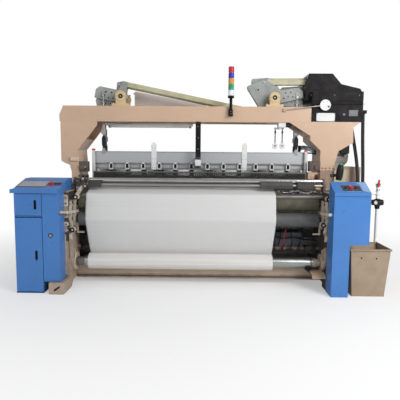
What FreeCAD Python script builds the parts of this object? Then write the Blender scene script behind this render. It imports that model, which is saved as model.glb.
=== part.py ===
"""Power loom: weaving machine for 2.3 m cloth with an overhead arch and a dobby on its right end.

Millimetres. X runs along the machine to the right, Y from the weaver to the back, Z up.
The origin is the centre of the four floor anchors, on the floor.
"""
import FreeCAD
import Part
import math
import os

Vector = FreeCAD.Vector

# ---- side frames, girders and floor anchors -------------------------------------------------
frame_gap = 2520.0
frame_thickness = 140.0
frame_height = 960.0
frame_front = 760.0
frame_rear = 740.0
left_foot_front = 970.0
right_foot_front = 935.0
foot_back = 870.0
foot_height = 110.0
foot_arch = 60.0
foot_pad_length = 250.0
frame_pocket_depth = 35.0
frame_rim = 90.0
anchor_pitch = 1600.0
anchor_hole = 26.0
girder_width = 90.0
girder_height = 140.0
girder_wall = 14.0
front_girder_place = (-480.0, 45.0)
middle_girder_place = (60.0, 130.0)
rear_girder_place = (730.0, 30.0)
rear_girder_height = 80.0

# ---- warp line, harness and shed ------------------------------------------------------------
warp_rise = 25.0
frame_count = 4
harness_front = -100.0
harness_pitch = 30.0
heald_frame_thickness = 12.0
harness_side_gap = 70.0
stave_height = 133.0
stave_distance = 195.0
rod_drop = 55.0
rod_height = 10.0
side_stave_width = 40.0
heald_wall = 2.0
heald_gaps = 4
hook_count = 4
hook_pitch = 540.0
hook_width = 26.0
shed_lift = 80.0

guide_x = -14.0
guide_width = 48.0
guide_shoe_top = 1292.0
guide_shoe_height = 112.0
side_post_x = 1130.0
side_post_bottom = 1036.0
side_post_height = 344.0

# ---- overhead arch --------------------------------------------------------------------------
beam_bottom = 1670.0
beam_top = 1835.0
arch_front = -220.0
arch_depth = 370.0
beam_depth = 70.0
beam_wall = 12.0
beam_left_end = -1463.0
beam_left_flare = 42.0
beam_right_end = 1190.0
leg_sheet = 15.0
left_neck = (-1385.0, -1304.0)
right_neck = (1300.0, 1452.0)

# ---- levers over the harness ----------------------------------------------------------------
shaft_radius = 28.0
bearing_ring = 60.0
bearing_depth = 50.0
left_pivot = (-848.0, 1938.0)
right_pivot = (800.0, 1932.0)
left_hanger_arm = 209.0
right_hanger_arm = 261.25
left_lever_tip = 300.0
right_lever_tip = 325.0
left_link_arm = 147.0
pull_pin = (-80.0, 188.0)
lever_plate = 8.0
lever_hub = 45.0
lever_hub_width = 27.0
hanger_pin = 8.0
hanger_fit = 0.25
link_pin = 9.0
link_height = 50.0
link_thickness = 8.0
open_pivot_play = 5.5
hanger_rod = 4.0
turnbuckle = 8.0
turnbuckle_length = 130.0

# ---- dobby ----------------------------------------------------------------------------------
dobby_left = 1196.0
dobby_width = 540.0
dobby_depth = 500.0
dobby_bottom = 1680.0
dobby_top = 2000.0
hood_height = 194.0
skirt_drop = 85.0
pull_bar_inside = 70.0
lid_groove = 178.0
lid_width = 40.0
hose_gland_x = 1822.0

# ---- sley and reed --------------------------------------------------------------------------
rocking_shaft = (-190.0, 480.0)
rocking_journal = 36.0
rocking_tube = 84.0
sword_count = 6
sword_thickness = 22.0
sley_top = 935.0
sley_depth = 80.0
sley_height = 60.0
reed_place = -250.0
reed_length = 2281.0
reed_top = 1140.0
reed_thickness = 14.0
reed_wall = 5.0
reed_cap = 16.0
reed_gaps = 22
reed_blade = 9.0

# ---- cloth path -----------------------------------------------------------------------------
fell = -400.0
cloth_left = -1130.0
cloth_right = 775.0
cloth_thickness = 2.0
nose = (-575.0, 905.0)
nose_radius = 25.0
take_up = (-545.0, 835.0)
take_up_radius = 72.0
roller_side_gap = 27.0
press = (-580.0, 672.0)
press_radius = 72.0
cloth_beam_place = (-620.0, 245.0)
cloth_beam_radius = 56.0
cloth_beam_right = 1155.0
roll_radius = 80.0
roll_left = -1102.0
roll_right = 745.0
journal_radius = 20.0
journal_seat = 45.0
bracket_depth = 28.0
release_shaft = (-455.0, 735.0)
release_shaft_radius = 12.0
release_arm = 12.0
release_reach = 475.0
upper_tube_y = -470.0
upper_tube_rise = 72.0
lower_tube_y = -500.0
lower_tube_rise = 19.0
tube_radius = 24.0

# ---- warp side ------------------------------------------------------------------------------
back_rest = (650.0, 950.0)
back_rest_radius = 70.0
back_rest_side_gap = 90.0
warp_beam_place = (520.0, 430.0)
warp_barrel = 85.0
warp_flange = 350.0
warp_roll_radius = 290.0
warp_flange_thickness = 16.0
warp_side_gap = 129.0
warp_journal = 34.0
warp_sheet_thickness = 2.0
stop_motion_place = 340.0
stop_motion_depth = 160.0
main_shaft = (60.0, 400.0)
main_shaft_radius = 26.0
handwheel_radius = 180.0

# ---- covers, console and stands -------------------------------------------------------------
cabinet_left = -1720.0
cabinet_right = -1462.0
cabinet_front = -930.0
cabinet_depth = 440.0
console_seat = 4.0
sheet = 3.0
door_thickness = 16.0
door_bottom = 14.0
door_top = 722.0
hatch_bottom = 744.0
hinge_pin = 2.0
column_right = -1300.0
column_depth = 165.0
column_bottom = 112.0
console_lip = 37.0
console_overhang = 28.0
console_back_height = 1078.0
console_slope_depth = 310.0
cover_left = 1255.0
cover_right = 1590.0
cover_front = -962.0
cover_depth = 182.0
cover_lip_height = 985.0
cover_back_height = 1076.0
cover_column_width = 158.0
cover_notch_height = 500.0
stop_button_radius = 19.0
start_button_side = 22.0
button_travel = 4.0
bin_height = 460.0
bin_front = -950.0
bin_left = 1430.0
bin_rim = (370.0, 350.0)
bin_foot = (304.0, 290.0)
bin_wall = 4.0
stand_place = (1822.0, -500.0)
stand_pipe = 17.0
stand_rise = 50.0
hose_radius = 19.0
hose_sides = 12
housing_width = 480.0
housing_front = 180.0
housing_depth = 340.0
housing_top = 1190.0
ledge_depth = 160.0
ledge_top = 940.0

motor_place = (330.0, 1285.0)
motor_radius = 78.0

# ---- signal tower, buttons and lock ---------------------------------------------------------
tower_x = 330.0
tower_reach = 32.0
lens_radius = 31.5
lens_pitch = 60.0
lens_bottom = 1941.0
lock_place = (-1384.0, 558.0)
lock_radius = 9.0
screen_x = -1576.0
screen_size = (264.0, 152.0)
console_button_along = 150.0
left_buttons = {"stop": -1412.0, "start": -1368.0, "jog": -1336.0}
cover_button_along = 88.0
right_buttons = {"stop": 1424.0, "start": 1374.0, "jog": 1470.0}

# ---- clearances -----------------------------------------------------------------------------
running_fit = 0.05
part_gap = 0.5
door_gap = 3.0
roller_room = 4.0

# ---- worked out from the above --------------------------------------------------------------
side_x = frame_gap / 2
outer_x = side_x + frame_thickness
warp_line = frame_height + warp_rise
cabinet_top = frame_height - console_seat
stand_height = frame_height + stand_rise
upper_tube = (upper_tube_y, warp_line + upper_tube_rise)
lower_tube = (lower_tube_y, warp_line + lower_tube_rise)
heald_frame_width = frame_gap - 2 * harness_side_gap
front_roller_length = frame_gap - 2 * (bracket_depth + roller_side_gap)
back_rest_length = frame_gap - 2 * back_rest_side_gap
warp_width = frame_gap - 2 * (warp_flange_thickness + warp_side_gap)
arch_back = arch_front + arch_depth
left_swing = math.asin(shed_lift / 2 / left_hanger_arm)
right_swing = math.asin(shed_lift / 2 / right_hanger_arm)
right_link_arm = left_link_arm * right_hanger_arm / left_hanger_arm
left_hanger_x = left_pivot[0] - left_hanger_arm
right_hanger_x = right_pivot[0] + right_hanger_arm
dobby_right = dobby_left + dobby_width
slope_angle = math.atan2(console_back_height - cabinet_top - console_lip, console_slope_depth)
cover_slope = math.atan2(cover_back_height - cover_lip_height, cover_depth)
link_side = lever_plate / 2 + 1.0
tower_y = arch_front - tower_reach
console_front = cabinet_front - 8
hinge_place = (cabinet_left + 3, cabinet_front + 7)
hinge_middle = (door_top + hatch_bottom) / 2
console_edge = cabinet_top + console_lip


# ---- shape helpers --------------------------------------------------------------------------
def block(x, y, z):
    """Box between pairs of limits."""
    return Part.makeBox(x[1] - x[0], y[1] - y[0], z[1] - z[0], Vector(x[0], y[0], z[0]))


def bar(radius, start, end):
    """Round bar between two points."""
    start = Vector(*start)
    along = Vector(*end) - start
    return Part.makeCylinder(radius, along.Length, start, along)


def bar_x(radius, place, start, end):
    """Round bar along X at a (y, z) place."""
    return bar(radius, (start, place[0], place[1]), (end, place[0], place[1]))


def bar_y(radius, place, start, end):
    """Round bar along Y at an (x, z) place."""
    return bar(radius, (place[0], start, place[1]), (place[0], end, place[1]))


def many_sided(count, radius, start, end):
    """Prism of many flat sides between two points, with its corners on a radius."""
    start = Vector(*start)
    along = Vector(*end) - start
    side = along.cross(Vector(0.31, 0.52, 0.79)).normalize()
    other = along.cross(side).normalize()
    corners = []
    for step in range(count + 1):
        turn = math.radians(360 * (step % count) / count)
        corners.append(start + side * (radius * math.cos(turn)) + other * (radius * math.sin(turn)))
    return Part.Face(Part.makePolygon(corners)).extrude(along)


def hexagon(across, start, end):
    """Hexagonal bolt head between two points, given its width across the flats."""
    return many_sided(6, across / math.sqrt(3), start, end)


def corner_wire(points, radius, to_space):
    """Closed outline through plane points whose corners are rounded to at most the radius."""
    count = len(points)
    starts = []
    mids = []
    ends = []
    for index in range(count):
        before = points[index - 1]
        here = points[index]
        after = points[(index + 1) % count]
        back = (before[0] - here[0], before[1] - here[1])
        ahead = (after[0] - here[0], after[1] - here[1])
        back_length = math.hypot(*back)
        ahead_length = math.hypot(*ahead)
        back = (back[0] / back_length, back[1] / back_length)
        ahead = (ahead[0] / ahead_length, ahead[1] / ahead_length)
        half = math.acos(max(-1.0, min(1.0, back[0] * ahead[0] + back[1] * ahead[1]))) / 2
        reach = min(radius / math.tan(half), 0.45 * back_length, 0.45 * ahead_length)
        starts.append((here[0] + back[0] * reach, here[1] + back[1] * reach))
        ends.append((here[0] + ahead[0] * reach, here[1] + ahead[1] * reach))
        bend = reach * math.tan(half)
        middle = (back[0] + ahead[0], back[1] + ahead[1])
        size = math.hypot(*middle)
        inward = bend / math.sin(half) - bend
        mids.append((here[0] + middle[0] / size * inward, here[1] + middle[1] / size * inward))
    edges = []
    for index in range(count):
        arc = Part.Arc(to_space(starts[index]), to_space(mids[index]), to_space(ends[index]))
        edges.append(arc.toShape())
        following = (index + 1) % count
        edges.append(Part.LineSegment(to_space(ends[index]), to_space(starts[following])).toShape())
    return Part.Wire(edges)


def outline_face(points, radius, to_space):
    """Flat face inside a closed outline, with rounded corners where a radius is given."""
    if radius > 0:
        return Part.Face(corner_wire(points, radius, to_space))
    corners = [to_space(point) for point in points]
    return Part.Face(Part.makePolygon(corners + corners[:1]))


def plate_x(points, x, radius=0):
    """Outline of (y, z) points carried along X between two limits."""
    face = outline_face(points, radius, lambda point: Vector(x[0], point[0], point[1]))
    return face.extrude(Vector(x[1] - x[0], 0, 0))


def plate_y(points, y, radius=0):
    """Outline of (x, z) points carried along Y between two limits."""
    face = outline_face(points, radius, lambda point: Vector(point[0], y[0], point[1]))
    return face.extrude(Vector(0, y[1] - y[0], 0))


def rectangle(u, v):
    """Corner points of a rectangle between pairs of limits."""
    return [(u[0], v[0]), (u[1], v[0]), (u[1], v[1]), (u[0], v[1])]


def joined(*shapes):
    """One solid from shapes that meet."""
    whole = shapes[0].multiFuse(list(shapes[1:])).removeSplitter()
    return whole.Solids[0] if len(whole.Solids) == 1 else whole


def without(shape, *tools):
    """The shape with the tools cut away."""
    rest = shape.cut(list(tools)).removeSplitter()
    return rest.Solids[0] if len(rest.Solids) == 1 else rest


def swung(shape, place, angle):
    """Copy of a shape turned about a line along Y through an (x, z) place, clockwise from the front."""
    copy = shape.copy()
    copy.rotate(Vector(place[0], 0, place[1]), Vector(0, 1, 0), math.degrees(angle))
    return copy


def mirrored(shape):
    """The same shape on the other side of the machine."""
    return shape.mirror(Vector(0, 0, 0), Vector(1, 0, 0))


def tangent_normal(first, second):
    """Left-hand normal of the line that touches two circles, given as (y, z, signed radius)."""
    ahead = (second[0] - first[0], second[1] - first[1])
    distance = math.hypot(*ahead)
    ahead = (ahead[0] / distance, ahead[1] / distance)
    share = (second[2] - first[2]) / distance
    rest = math.sqrt(1 - share * share)
    return (-ahead[1] * rest + ahead[0] * share, ahead[0] * rest + ahead[1] * share)


def web_edges(circles, x):
    """Edges of a line that runs round circles of signed radius, positive where the centre is on its left."""
    normals = []
    for index in range(len(circles) - 1):
        normals.append(tangent_normal(circles[index], circles[index + 1]))

    def touch(circle, normal):
        return Vector(x, circle[0] - normal[0] * circle[2], circle[1] - normal[1] * circle[2])

    edges = []
    for index, normal in enumerate(normals):
        start = touch(circles[index], normal)
        end = touch(circles[index + 1], normal)
        edges.append(Part.LineSegment(start, end).toShape())
        if index + 1 < len(normals):
            following = normals[index + 1]
            between = (normal[0] + following[0], normal[1] + following[1])
            size = math.hypot(*between)
            middle = touch(circles[index + 1], (between[0] / size, between[1] / size))
            last = touch(circles[index + 1], following)
            if (last - end).Length > 0.01:
                edges.append(Part.Arc(end, middle, last).toShape())
    return edges


def web(stations, thickness, x):
    """Sheet that runs in the YZ plane round stations of (y, z, radius, side) and spans X.

    The side is 1 where the roller lies on the left of the run and -1 on the right. An end is a
    station of no radius.
    """
    left = []
    right = []
    for y, z, radius, side in stations:
        near = radius + (part_gap if radius > 0 else 0.0)
        left.append((y, z, near if side > 0 else -near - thickness))
        right.append((y, z, near + thickness if side > 0 else -near))
    left_edges = web_edges(left, x[0])
    right_edges = web_edges(right, x[0])
    first = left_edges[0].Vertexes[0].Point
    last = left_edges[-1].Vertexes[-1].Point
    other_first = right_edges[0].Vertexes[0].Point
    other_last = right_edges[-1].Vertexes[-1].Point
    closing = [Part.LineSegment(last, other_last).toShape()]
    opening = [Part.LineSegment(other_first, first).toShape()]
    edges = Part.sortEdges(left_edges + closing + right_edges + opening)[0]
    return Part.Face(Part.Wire(edges)).extrude(Vector(x[1] - x[0], 0, 0))


def hose(points, radius, bend):
    """Hose along straight runs joined by arcs of one radius."""
    corners = [Vector(*point) for point in points]
    edges = []
    start = corners[0]
    for index in range(1, len(corners) - 1):
        back = (corners[index - 1] - corners[index]).normalize()
        ahead = (corners[index + 1] - corners[index]).normalize()
        half = back.getAngle(ahead) / 2
        shorter = min((corners[index - 1] - corners[index]).Length,
                      (corners[index + 1] - corners[index]).Length)
        reach = min(bend / math.tan(half), 0.45 * shorter)
        arc_radius = reach * math.tan(half)
        enter = corners[index] + back * reach
        leave = corners[index] + ahead * reach
        inward = (back + ahead).normalize() * (arc_radius / math.sin(half) - arc_radius)
        edges.append(Part.LineSegment(start, enter).toShape())
        edges.append(Part.Arc(enter, corners[index] + inward, leave).toShape())
        print("hose bend radius", round(arc_radius))
        start = leave
    edges.append(Part.LineSegment(start, corners[-1]).toShape())
    path = Part.Wire(edges)
    first = (corners[1] - corners[0]).normalize()
    side = first.cross(Vector(1, 0, 0)).normalize()
    other = first.cross(side).normalize()
    rim = []
    for step in range(hose_sides + 1):
        turn = math.radians(360 * (step % hose_sides) / hose_sides)
        rim.append(corners[0] + side * (radius * math.cos(turn)) + other * (radius * math.sin(turn)))
    ring = Part.makePolygon(rim)
    return path.makePipeShell([ring], True, False)


def save(node, *shapes):
    """Write one sub-part and note its solids."""
    solids = []
    for shape in shapes:
        solids.extend(shape.Solids)
    for solid in solids:
        if not solid.isValid() or not solid.isClosed() or solid.Volume <= 0:
            print("not sound:", node)
    Part.makeCompound(solids).exportStep(os.path.join("parts", node + ".step"))
    print(node, len(solids))


# ---- side frames ----------------------------------------------------------------------------
def side_frame(foot_front):
    """Cast side frame drawn at the right-hand end, with its feet, pockets and bearing bores."""
    contour = [
        (-foot_front, 0), (-foot_front, foot_height), (-frame_front, foot_height),
        (-frame_front, frame_height - 80), (-frame_front + 80, frame_height),
        (back_rest[0] - 90, frame_height), (back_rest[0] - 45, back_rest[1] + 55),
        (back_rest[0] + 45, back_rest[1] + 55), (frame_rear, frame_height - 60),
        (frame_rear, foot_height + 40), (foot_back, foot_height), (foot_back, 0),
        (foot_back - foot_pad_length, 0), (foot_back - foot_pad_length - foot_arch, foot_arch),
        (foot_pad_length + foot_arch - foot_front, foot_arch), (foot_pad_length - foot_front, 0),
    ]
    casting = plate_x(contour, (side_x, outer_x))
    low = foot_height + frame_rim
    high = frame_height - frame_rim
    middle = main_shaft[0] - frame_rim - main_shaft_radius
    pocket_spans = [(-frame_front + frame_rim, middle), (middle + frame_rim / 2, frame_rear - frame_rim)]
    tools = []
    for y in pocket_spans:
        tools.append(plate_x(rectangle(y, (low, high)), (outer_x - frame_pocket_depth, outer_x + 1)))
    for y in (-anchor_pitch / 2, anchor_pitch / 2):
        x = side_x + frame_thickness / 2
        tools.append(bar(anchor_hole / 2, (x, y, -1), (x, y, foot_height + 60)))
        seat = block((side_x + 35, outer_x + 1), (y - 45, y + 45), (30, foot_height + 60))
        tools.append(seat)
    bores = [(rocking_shaft, rocking_journal), (back_rest, journal_radius), (warp_beam_place, warp_journal)]
    for place, radius in bores:
        tools.append(bar_x(radius + running_fit, place, side_x - 1, side_x + journal_seat))
    tools.append(bar_x(main_shaft_radius + running_fit, main_shaft, side_x - 1, outer_x + 1))
    return without(casting, *tools)


def drive_housing():
    """Gear housing on the outside of the right frame, with a ledge in front for the cable hoses."""
    right = outer_x + housing_width
    points = [(outer_x, 420), (right - 180, 540), (right, frame_height - 60), (right, housing_top),
              (outer_x + 60, housing_top), (outer_x, frame_height)]
    tall = plate_y(points, (housing_front, housing_front + housing_depth))
    ledge = block((right - 190, right), (housing_front - ledge_depth, housing_front + 1),
                  (ledge_top - 160, ledge_top))
    return joined(tall, ledge)


def girder(place, height, lips):
    """Channel girder between the side frames, open to the back."""
    y = (place[0] - girder_width / 2, place[0] + girder_width / 2)
    z = (place[1], place[1] + height)
    outer = block((-side_x, side_x), y, z)
    inside = block((-side_x + girder_wall, side_x - girder_wall),
                   (y[0] + girder_wall, y[1] + 1), (z[0] + girder_wall, z[1] - girder_wall))
    shape = without(outer, inside)
    if lips:
        lip = block((-side_x, side_x), (y[0] - 10, y[0] + 1), (z[0], z[0] + 14))
        shape = joined(shape, lip)
    return shape


def foot_bracket():
    """Stop bracket on the right end of the front girder."""
    y = front_girder_place[0] - girder_width / 2
    top = front_girder_place[1] + girder_height
    points = [(y - 150, top - 22), (y - 150, top - 10), (y - 120, top - 4), (y, top - 4), (y, top - 60)]
    return plate_x(points, (side_x - 130, side_x - 60))


# ---- arch -----------------------------------------------------------------------------------
def arch_beam(front):
    """One of the two channel beams of the arch, open towards the space between them."""
    y = (front, front + beam_depth)
    points = [(beam_left_end, beam_top), (beam_right_end, beam_top), (beam_right_end, beam_bottom),
              (beam_left_end - beam_left_flare, beam_bottom),
              (beam_left_end - beam_left_flare, beam_bottom + 70)]
    outer = plate_y(points, y)
    inward = 1 if front == arch_front else -1
    wall_y = y[0] + beam_wall if inward > 0 else y[0] - 1
    end_y = y[1] + 1 if inward > 0 else y[1] - beam_wall
    inside = block((beam_left_end + beam_wall, beam_right_end - beam_wall),
                   (wall_y, end_y), (beam_bottom + beam_wall, beam_top - beam_wall))
    return without(outer, inside)


def beam_tie(x):
    """Cross tie between the two beams."""
    y = (arch_front + beam_depth, arch_back - beam_depth)
    z = (beam_bottom, beam_bottom + beam_wall)
    return block((x - 60, x + 60), y, z)


def left_leg():
    """Left leg of the arch: two gusset sheets that draw in to a narrow neck."""
    seat = frame_height
    points = [
        (-1101, beam_bottom), (-1102, 1630), (-1314, 1362), (left_neck[1], 1225), (left_neck[1], seat),
        (left_neck[0], seat), (left_neck[0], 1124), (-1404, 1200), (-1454, 1222), (-1496, 1245),
        (-1496, beam_bottom),
    ]
    body = plate_y(points, (arch_front, arch_back))
    slot = block((-1460, -1000), (arch_front + leg_sheet, arch_back - leg_sheet), (1480, beam_bottom + 1))
    flange = block((-outer_x, -side_x), (arch_front - 20, arch_back + 20), (seat, seat + 24))
    return joined(without(body, slot), flange)


def right_leg():
    """Right leg of the arch, wide enough at the top to carry the dobby."""
    seat = frame_height
    points = [
        (963, beam_bottom), (1187, 1530), (1189, 1481), (right_neck[0], 1376), (right_neck[0], seat),
        (right_neck[1], seat), (right_neck[1], 1210), (1493, 1369), (1648, 1460), (1641, 1622),
        (1720, dobby_bottom),
        (dobby_left - 4, dobby_bottom), (dobby_left - 4, beam_bottom),
    ]
    body = plate_y(points, (arch_front, arch_back))
    slot = block((900, right_hanger_x + 70), (arch_front + leg_sheet, arch_back - leg_sheet),
                 (1380, beam_bottom + 1))
    flange = block((side_x, 1490), (arch_front - 20, arch_back + 20), (seat, seat + 24))
    return joined(without(body, slot), flange)


# ---- lever gear -----------------------------------------------------------------------------
def pillow_block(place, y):
    """Split bearing block that stands on a beam."""
    ring = bar_y(bearing_ring, place, *y)
    base = block((place[0] - 95, place[0] + 95), y, (beam_top, beam_top + 24))
    pillar = block((place[0] - bearing_ring + 8, place[0] + bearing_ring - 8), y, (beam_top, place[1]))
    pieces = [ring, base, pillar]
    return joined(*pieces)


def lever_bearings():
    """Two pairs of blocks, each with the fixed shaft that it clamps."""
    pieces = []
    front = arch_front + (beam_depth - bearing_depth) / 2
    rear = arch_back - (beam_depth + bearing_depth) / 2
    for place in (left_pivot, right_pivot):
        shaft = bar_y(shaft_radius, place, front + bearing_depth - 1, rear + 1)
        front_block = pillow_block(place, (front, front + bearing_depth))
        rear_block = pillow_block(place, (rear, rear + bearing_depth))
        pieces.append(joined(front_block, rear_block, shaft))
    return pieces


def lever_y(index):
    """Middle plane of one harness frame and of the levers above it."""
    return harness_front + harness_pitch * index


def lever(place, points, y):
    """Flat lever with a hub that turns on its shaft, drawn with its hanger arm level."""
    outline = [(place[0] + x, place[1] + z) for x, z in points]
    plate = plate_y(outline, (y - lever_plate / 2, y + lever_plate / 2))
    hub = many_sided(12, lever_hub, (place[0], y - lever_hub_width / 2, place[1]),
                     (place[0], y + lever_hub_width / 2, place[1]))
    bore = bar_y(shaft_radius + running_fit, place, y - lever_hub_width, y + lever_hub_width)
    return without(joined(plate, hub), bore)


def hanger_pin_at(x, z, y):
    """Six-sided hanger pin on the front of a lever, one corner up."""
    corners = []
    for step in range(6):
        turn = math.radians(60 * step)
        corners.append((x + hanger_pin * math.sin(turn), z + hanger_pin * math.cos(turn)))
    return plate_y(corners, (y - lever_plate / 2 - 9, y))


def left_lever(y):
    """Left lever: hanger arm to the left, link arm upwards."""
    tip = left_lever_tip
    points = [(-tip, -62), (-40, -60), (40, -30), (28, left_link_arm + 26), (-28, left_link_arm + 26),
              (-60, 69), (38 - tip, 69), (-tip, 30)]
    plate = lever(left_pivot, points, y)
    pin = hanger_pin_at(left_hanger_x, left_pivot[1], y)
    top = (left_pivot[0], left_pivot[1] + left_link_arm)
    link = bar_y(link_pin, top, y + lever_plate / 2 - 1, y + link_side + link_thickness)
    return joined(plate, pin, link)


def right_lever(y):
    """Right lever: hanger arm to the right, link arm downwards, pull arm up to the left."""
    tip = right_lever_tip
    low = -right_link_arm
    points = [(tip, -40), (tip, 30), (tip - 45, 80), (90, 80), (pull_pin[0] + 34, pull_pin[1] + 24),
              (pull_pin[0] - 24, pull_pin[1] + 26), (-262, 176), (-262, 148), (-170, -60), (-34, low - 22),
              (34, low - 22), (50, -60)]
    plate = lever(right_pivot, points, y)
    pin = hanger_pin_at(right_hanger_x, right_pivot[1], y)
    top = (right_pivot[0] + pull_pin[0], right_pivot[1] + pull_pin[1])
    bottom = (right_pivot[0], right_pivot[1] - right_link_arm)
    span = (y + lever_plate / 2 - 1, y + link_side + link_thickness)
    low_pin = many_sided(12, link_pin, (bottom[0], span[0], bottom[1]), (bottom[0], span[1], bottom[1]))
    return joined(plate, pin, bar_y(link_pin, top, *span), low_pin)


def turned_point(place, arm, angle):
    """Where a lever's pin lies when the lever has swung clockwise by an angle."""
    x = place[0] + arm[0] * math.cos(angle) + arm[1] * math.sin(angle)
    z = place[1] - arm[0] * math.sin(angle) + arm[1] * math.cos(angle)
    return (x, z)


def flat_link(start, end, y, fork):
    """Flat bar beside the levers: bored at its start, and forked at its end where a pin lies in it."""
    length = math.hypot(end[0] - start[0], end[1] - start[1])
    half = link_height / 2
    cut = half / 2
    points = [(-half, -cut), (-cut, -half), (length + half, -half), (length + half, half),
              (-cut, half), (-half, cut)]
    tools = [bar_y(link_pin + running_fit, (0, 0), y - 1, y + link_thickness + 1)]
    if fork:
        play = link_pin + open_pivot_play
        mouth = (length - play, length + half + 1)
        tools.append(block(mouth, (y - 1, y + link_thickness + 1), (-play, play)))
    link = without(plate_y(points, (y, y + link_thickness)), *tools)
    rise = math.degrees(math.atan2(end[1] - start[1], end[0] - start[0]))
    link.rotate(Vector(0, 0, 0), Vector(0, -1, 0), rise)
    link.translate(Vector(start[0], 0, start[1]))
    return link


def link_bar(y, left_turn, right_turn):
    """Long bar from the left lever's top pin to the right lever's bottom pin."""
    start = turned_point(left_pivot, (0, left_link_arm), left_turn)
    end = turned_point(right_pivot, (0, -right_link_arm), right_turn)
    return flat_link(start, end, y + link_side, True)


def pull_bar(y, right_turn):
    """Bar from the right lever's top pin into the dobby."""
    start = turned_point(right_pivot, pull_pin, right_turn)
    end = (dobby_left + pull_bar_inside, start[1] + 6)
    return flat_link(start, end, y + link_side, False)


# ---- heald frames ---------------------------------------------------------------------------
def hanger(x, y, lever_z, stave_top):
    """Hanger from a lever's pin to the top stave: slotted eye, rod and turnbuckle."""
    eye_y = (y - lever_plate / 2 - 7, y - lever_plate / 2 - 1)
    middle = (eye_y[0] + eye_y[1]) / 2
    half_eye = hanger_pin + open_pivot_play
    eye = block((x - half_eye - 6, x + half_eye + 6), eye_y, (lever_z - 30, lever_z + 18))
    slot = block((x - half_eye, x + half_eye), (eye_y[0] - 1, eye_y[1] + 1),
                 (lever_z - hanger_pin - hanger_fit, lever_z + hanger_pin + hanger_fit))
    rod = block((x - hanger_rod, x + hanger_rod), (middle - 3, middle + 3), (stave_top - 20, lever_z - 29))
    low = stave_top + 40
    barrel = hexagon(2 * turnbuckle, (x, middle, low), (x, middle, low + turnbuckle_length))
    clamp_y = (eye_y[0], y + heald_frame_thickness / 2)
    clamp = block((x - 22, x + 22), clamp_y, (stave_top - 30, stave_top + 12))
    return joined(without(eye, slot), rod, barrel, clamp)


def heald_frame(index, lift):
    """One harness frame with its hooks and hangers, and the wall of healds inside it."""
    y = lever_y(index)
    half = heald_frame_width / 2
    inner = half - side_stave_width
    eye = warp_line + lift
    top = eye + stave_distance + stave_height
    bottom = eye - stave_distance - stave_height
    body_y = (y - heald_frame_thickness / 2, y + heald_frame_thickness / 2)
    outer = block((-half, half), body_y, (bottom, top))
    window = block((-inner, inner), (body_y[0] - 1, body_y[1] + 1),
                   (eye - stave_distance, eye + stave_distance))
    rod_z = eye + stave_distance - rod_drop
    pieces = [without(outer, window)]
    for number in range(hook_count):
        x = (number - (hook_count - 1) / 2) * hook_pitch
        hook = block((x - hook_width / 2, x + hook_width / 2), (body_y[0] - 3, body_y[0] + 1),
                     (rod_z - rod_height, eye + stave_distance + 20))
        pieces.append(hook)
    pieces.append(hanger(left_hanger_x, y, left_pivot[1] + lift, top))
    pieces.append(hanger(right_hanger_x, y, right_pivot[1] + lift, top))
    frame = joined(*pieces)
    wall_y = (y - heald_wall / 2, y + heald_wall / 2)
    rod_low = eye - stave_distance + rod_drop
    wall = block((-inner + part_gap, inner - part_gap), wall_y, (rod_low, rod_z))
    gap_pitch = 2 * (inner - 30) / heald_gaps
    gaps = []
    for number in range(heald_gaps):
        x = -inner + 30 + gap_pitch * (number + 0.5)
        for low, high in ((rod_low + rod_height, eye - 12), (eye + 12, rod_z - rod_height)):
            gaps.append(block((x - gap_pitch * 0.42, x + gap_pitch * 0.42), (y - 2, y + 2), (low, high)))
    return [frame, without(wall, *gaps)]


# ---- sley and reed --------------------------------------------------------------------------
def sley():
    """Sley beam on its swords and the rocking tube with its journals."""
    reach = side_x + journal_seat - 2
    tube_end = side_x - 4
    y, z = rocking_shaft
    half_tube = rocking_tube / 2
    tube = block((-tube_end, tube_end), (y - half_tube, y + half_tube), (z - half_tube, z + half_tube))
    journals = []
    for side in (-1, 1):
        journals.append(bar_x(rocking_journal, rocking_shaft, side * (tube_end - 1), side * reach))
    beam_y = (reed_place - sley_depth / 2, reed_place + sley_depth / 2)
    half = reed_length / 2 + 20
    beam = block((-half, half), beam_y, (sley_top - sley_height, sley_top))
    groove = block((-half - 1, half + 1), (reed_place - reed_thickness / 2, reed_place + reed_thickness / 2),
                   (sley_top - reed_cap, sley_top + 1))
    pieces = [tube, without(beam, groove)] + journals
    spacing = 2 * (half - 60) / (sword_count - 1)
    top = sley_top - sley_height + 4
    sword_points = [(y - 60, z - 52), (y + 60, z - 52), (y + 52, z + 50), (beam_y[1] - 12, top),
                    (beam_y[0] + 12, top), (y - 62, z + 50)]
    for number in range(sword_count):
        x = -half + 60 + spacing * number
        pieces.append(plate_x(sword_points, (x - sword_thickness / 2, x + sword_thickness / 2)))
    return joined(*pieces)


def reed():
    """Reed: two caps and a wall of blades with gaps for the warp."""
    half = reed_length / 2
    cap_y = (reed_place - reed_thickness / 2, reed_place + reed_thickness / 2)
    bottom = sley_top - reed_cap
    lower = block((-half, half), (cap_y[0], cap_y[1]), (bottom, bottom + 2 * reed_cap))
    upper = block((-half, half), cap_y, (reed_top - reed_cap, reed_top))
    wall = block((-half, half), (reed_place - reed_wall / 2, reed_place + reed_wall / 2),
                 (bottom + reed_cap, reed_top - reed_cap / 2))
    pitch = reed_length / (reed_gaps + 1)
    gaps = []
    for number in range(reed_gaps):
        x = -half + pitch * (number + 1)
        gaps.append(block((x - (pitch - reed_blade) / 2, x + (pitch - reed_blade) / 2),
                          (reed_place - reed_wall, reed_place + reed_wall),
                          (bottom + 2 * reed_cap, reed_top - reed_cap)))
    return joined(without(wall, *gaps), lower, upper)


def roller(place, radius, length, journal):
    """Roller with a journal at each end, carried in the side frames or their brackets."""
    half = length / 2
    body = bar_x(radius, place, -half, half)
    axle = bar_x(journal, place, -side_x - journal_seat + 2, side_x + journal_seat - 2)
    return joined(body, axle)


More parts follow.
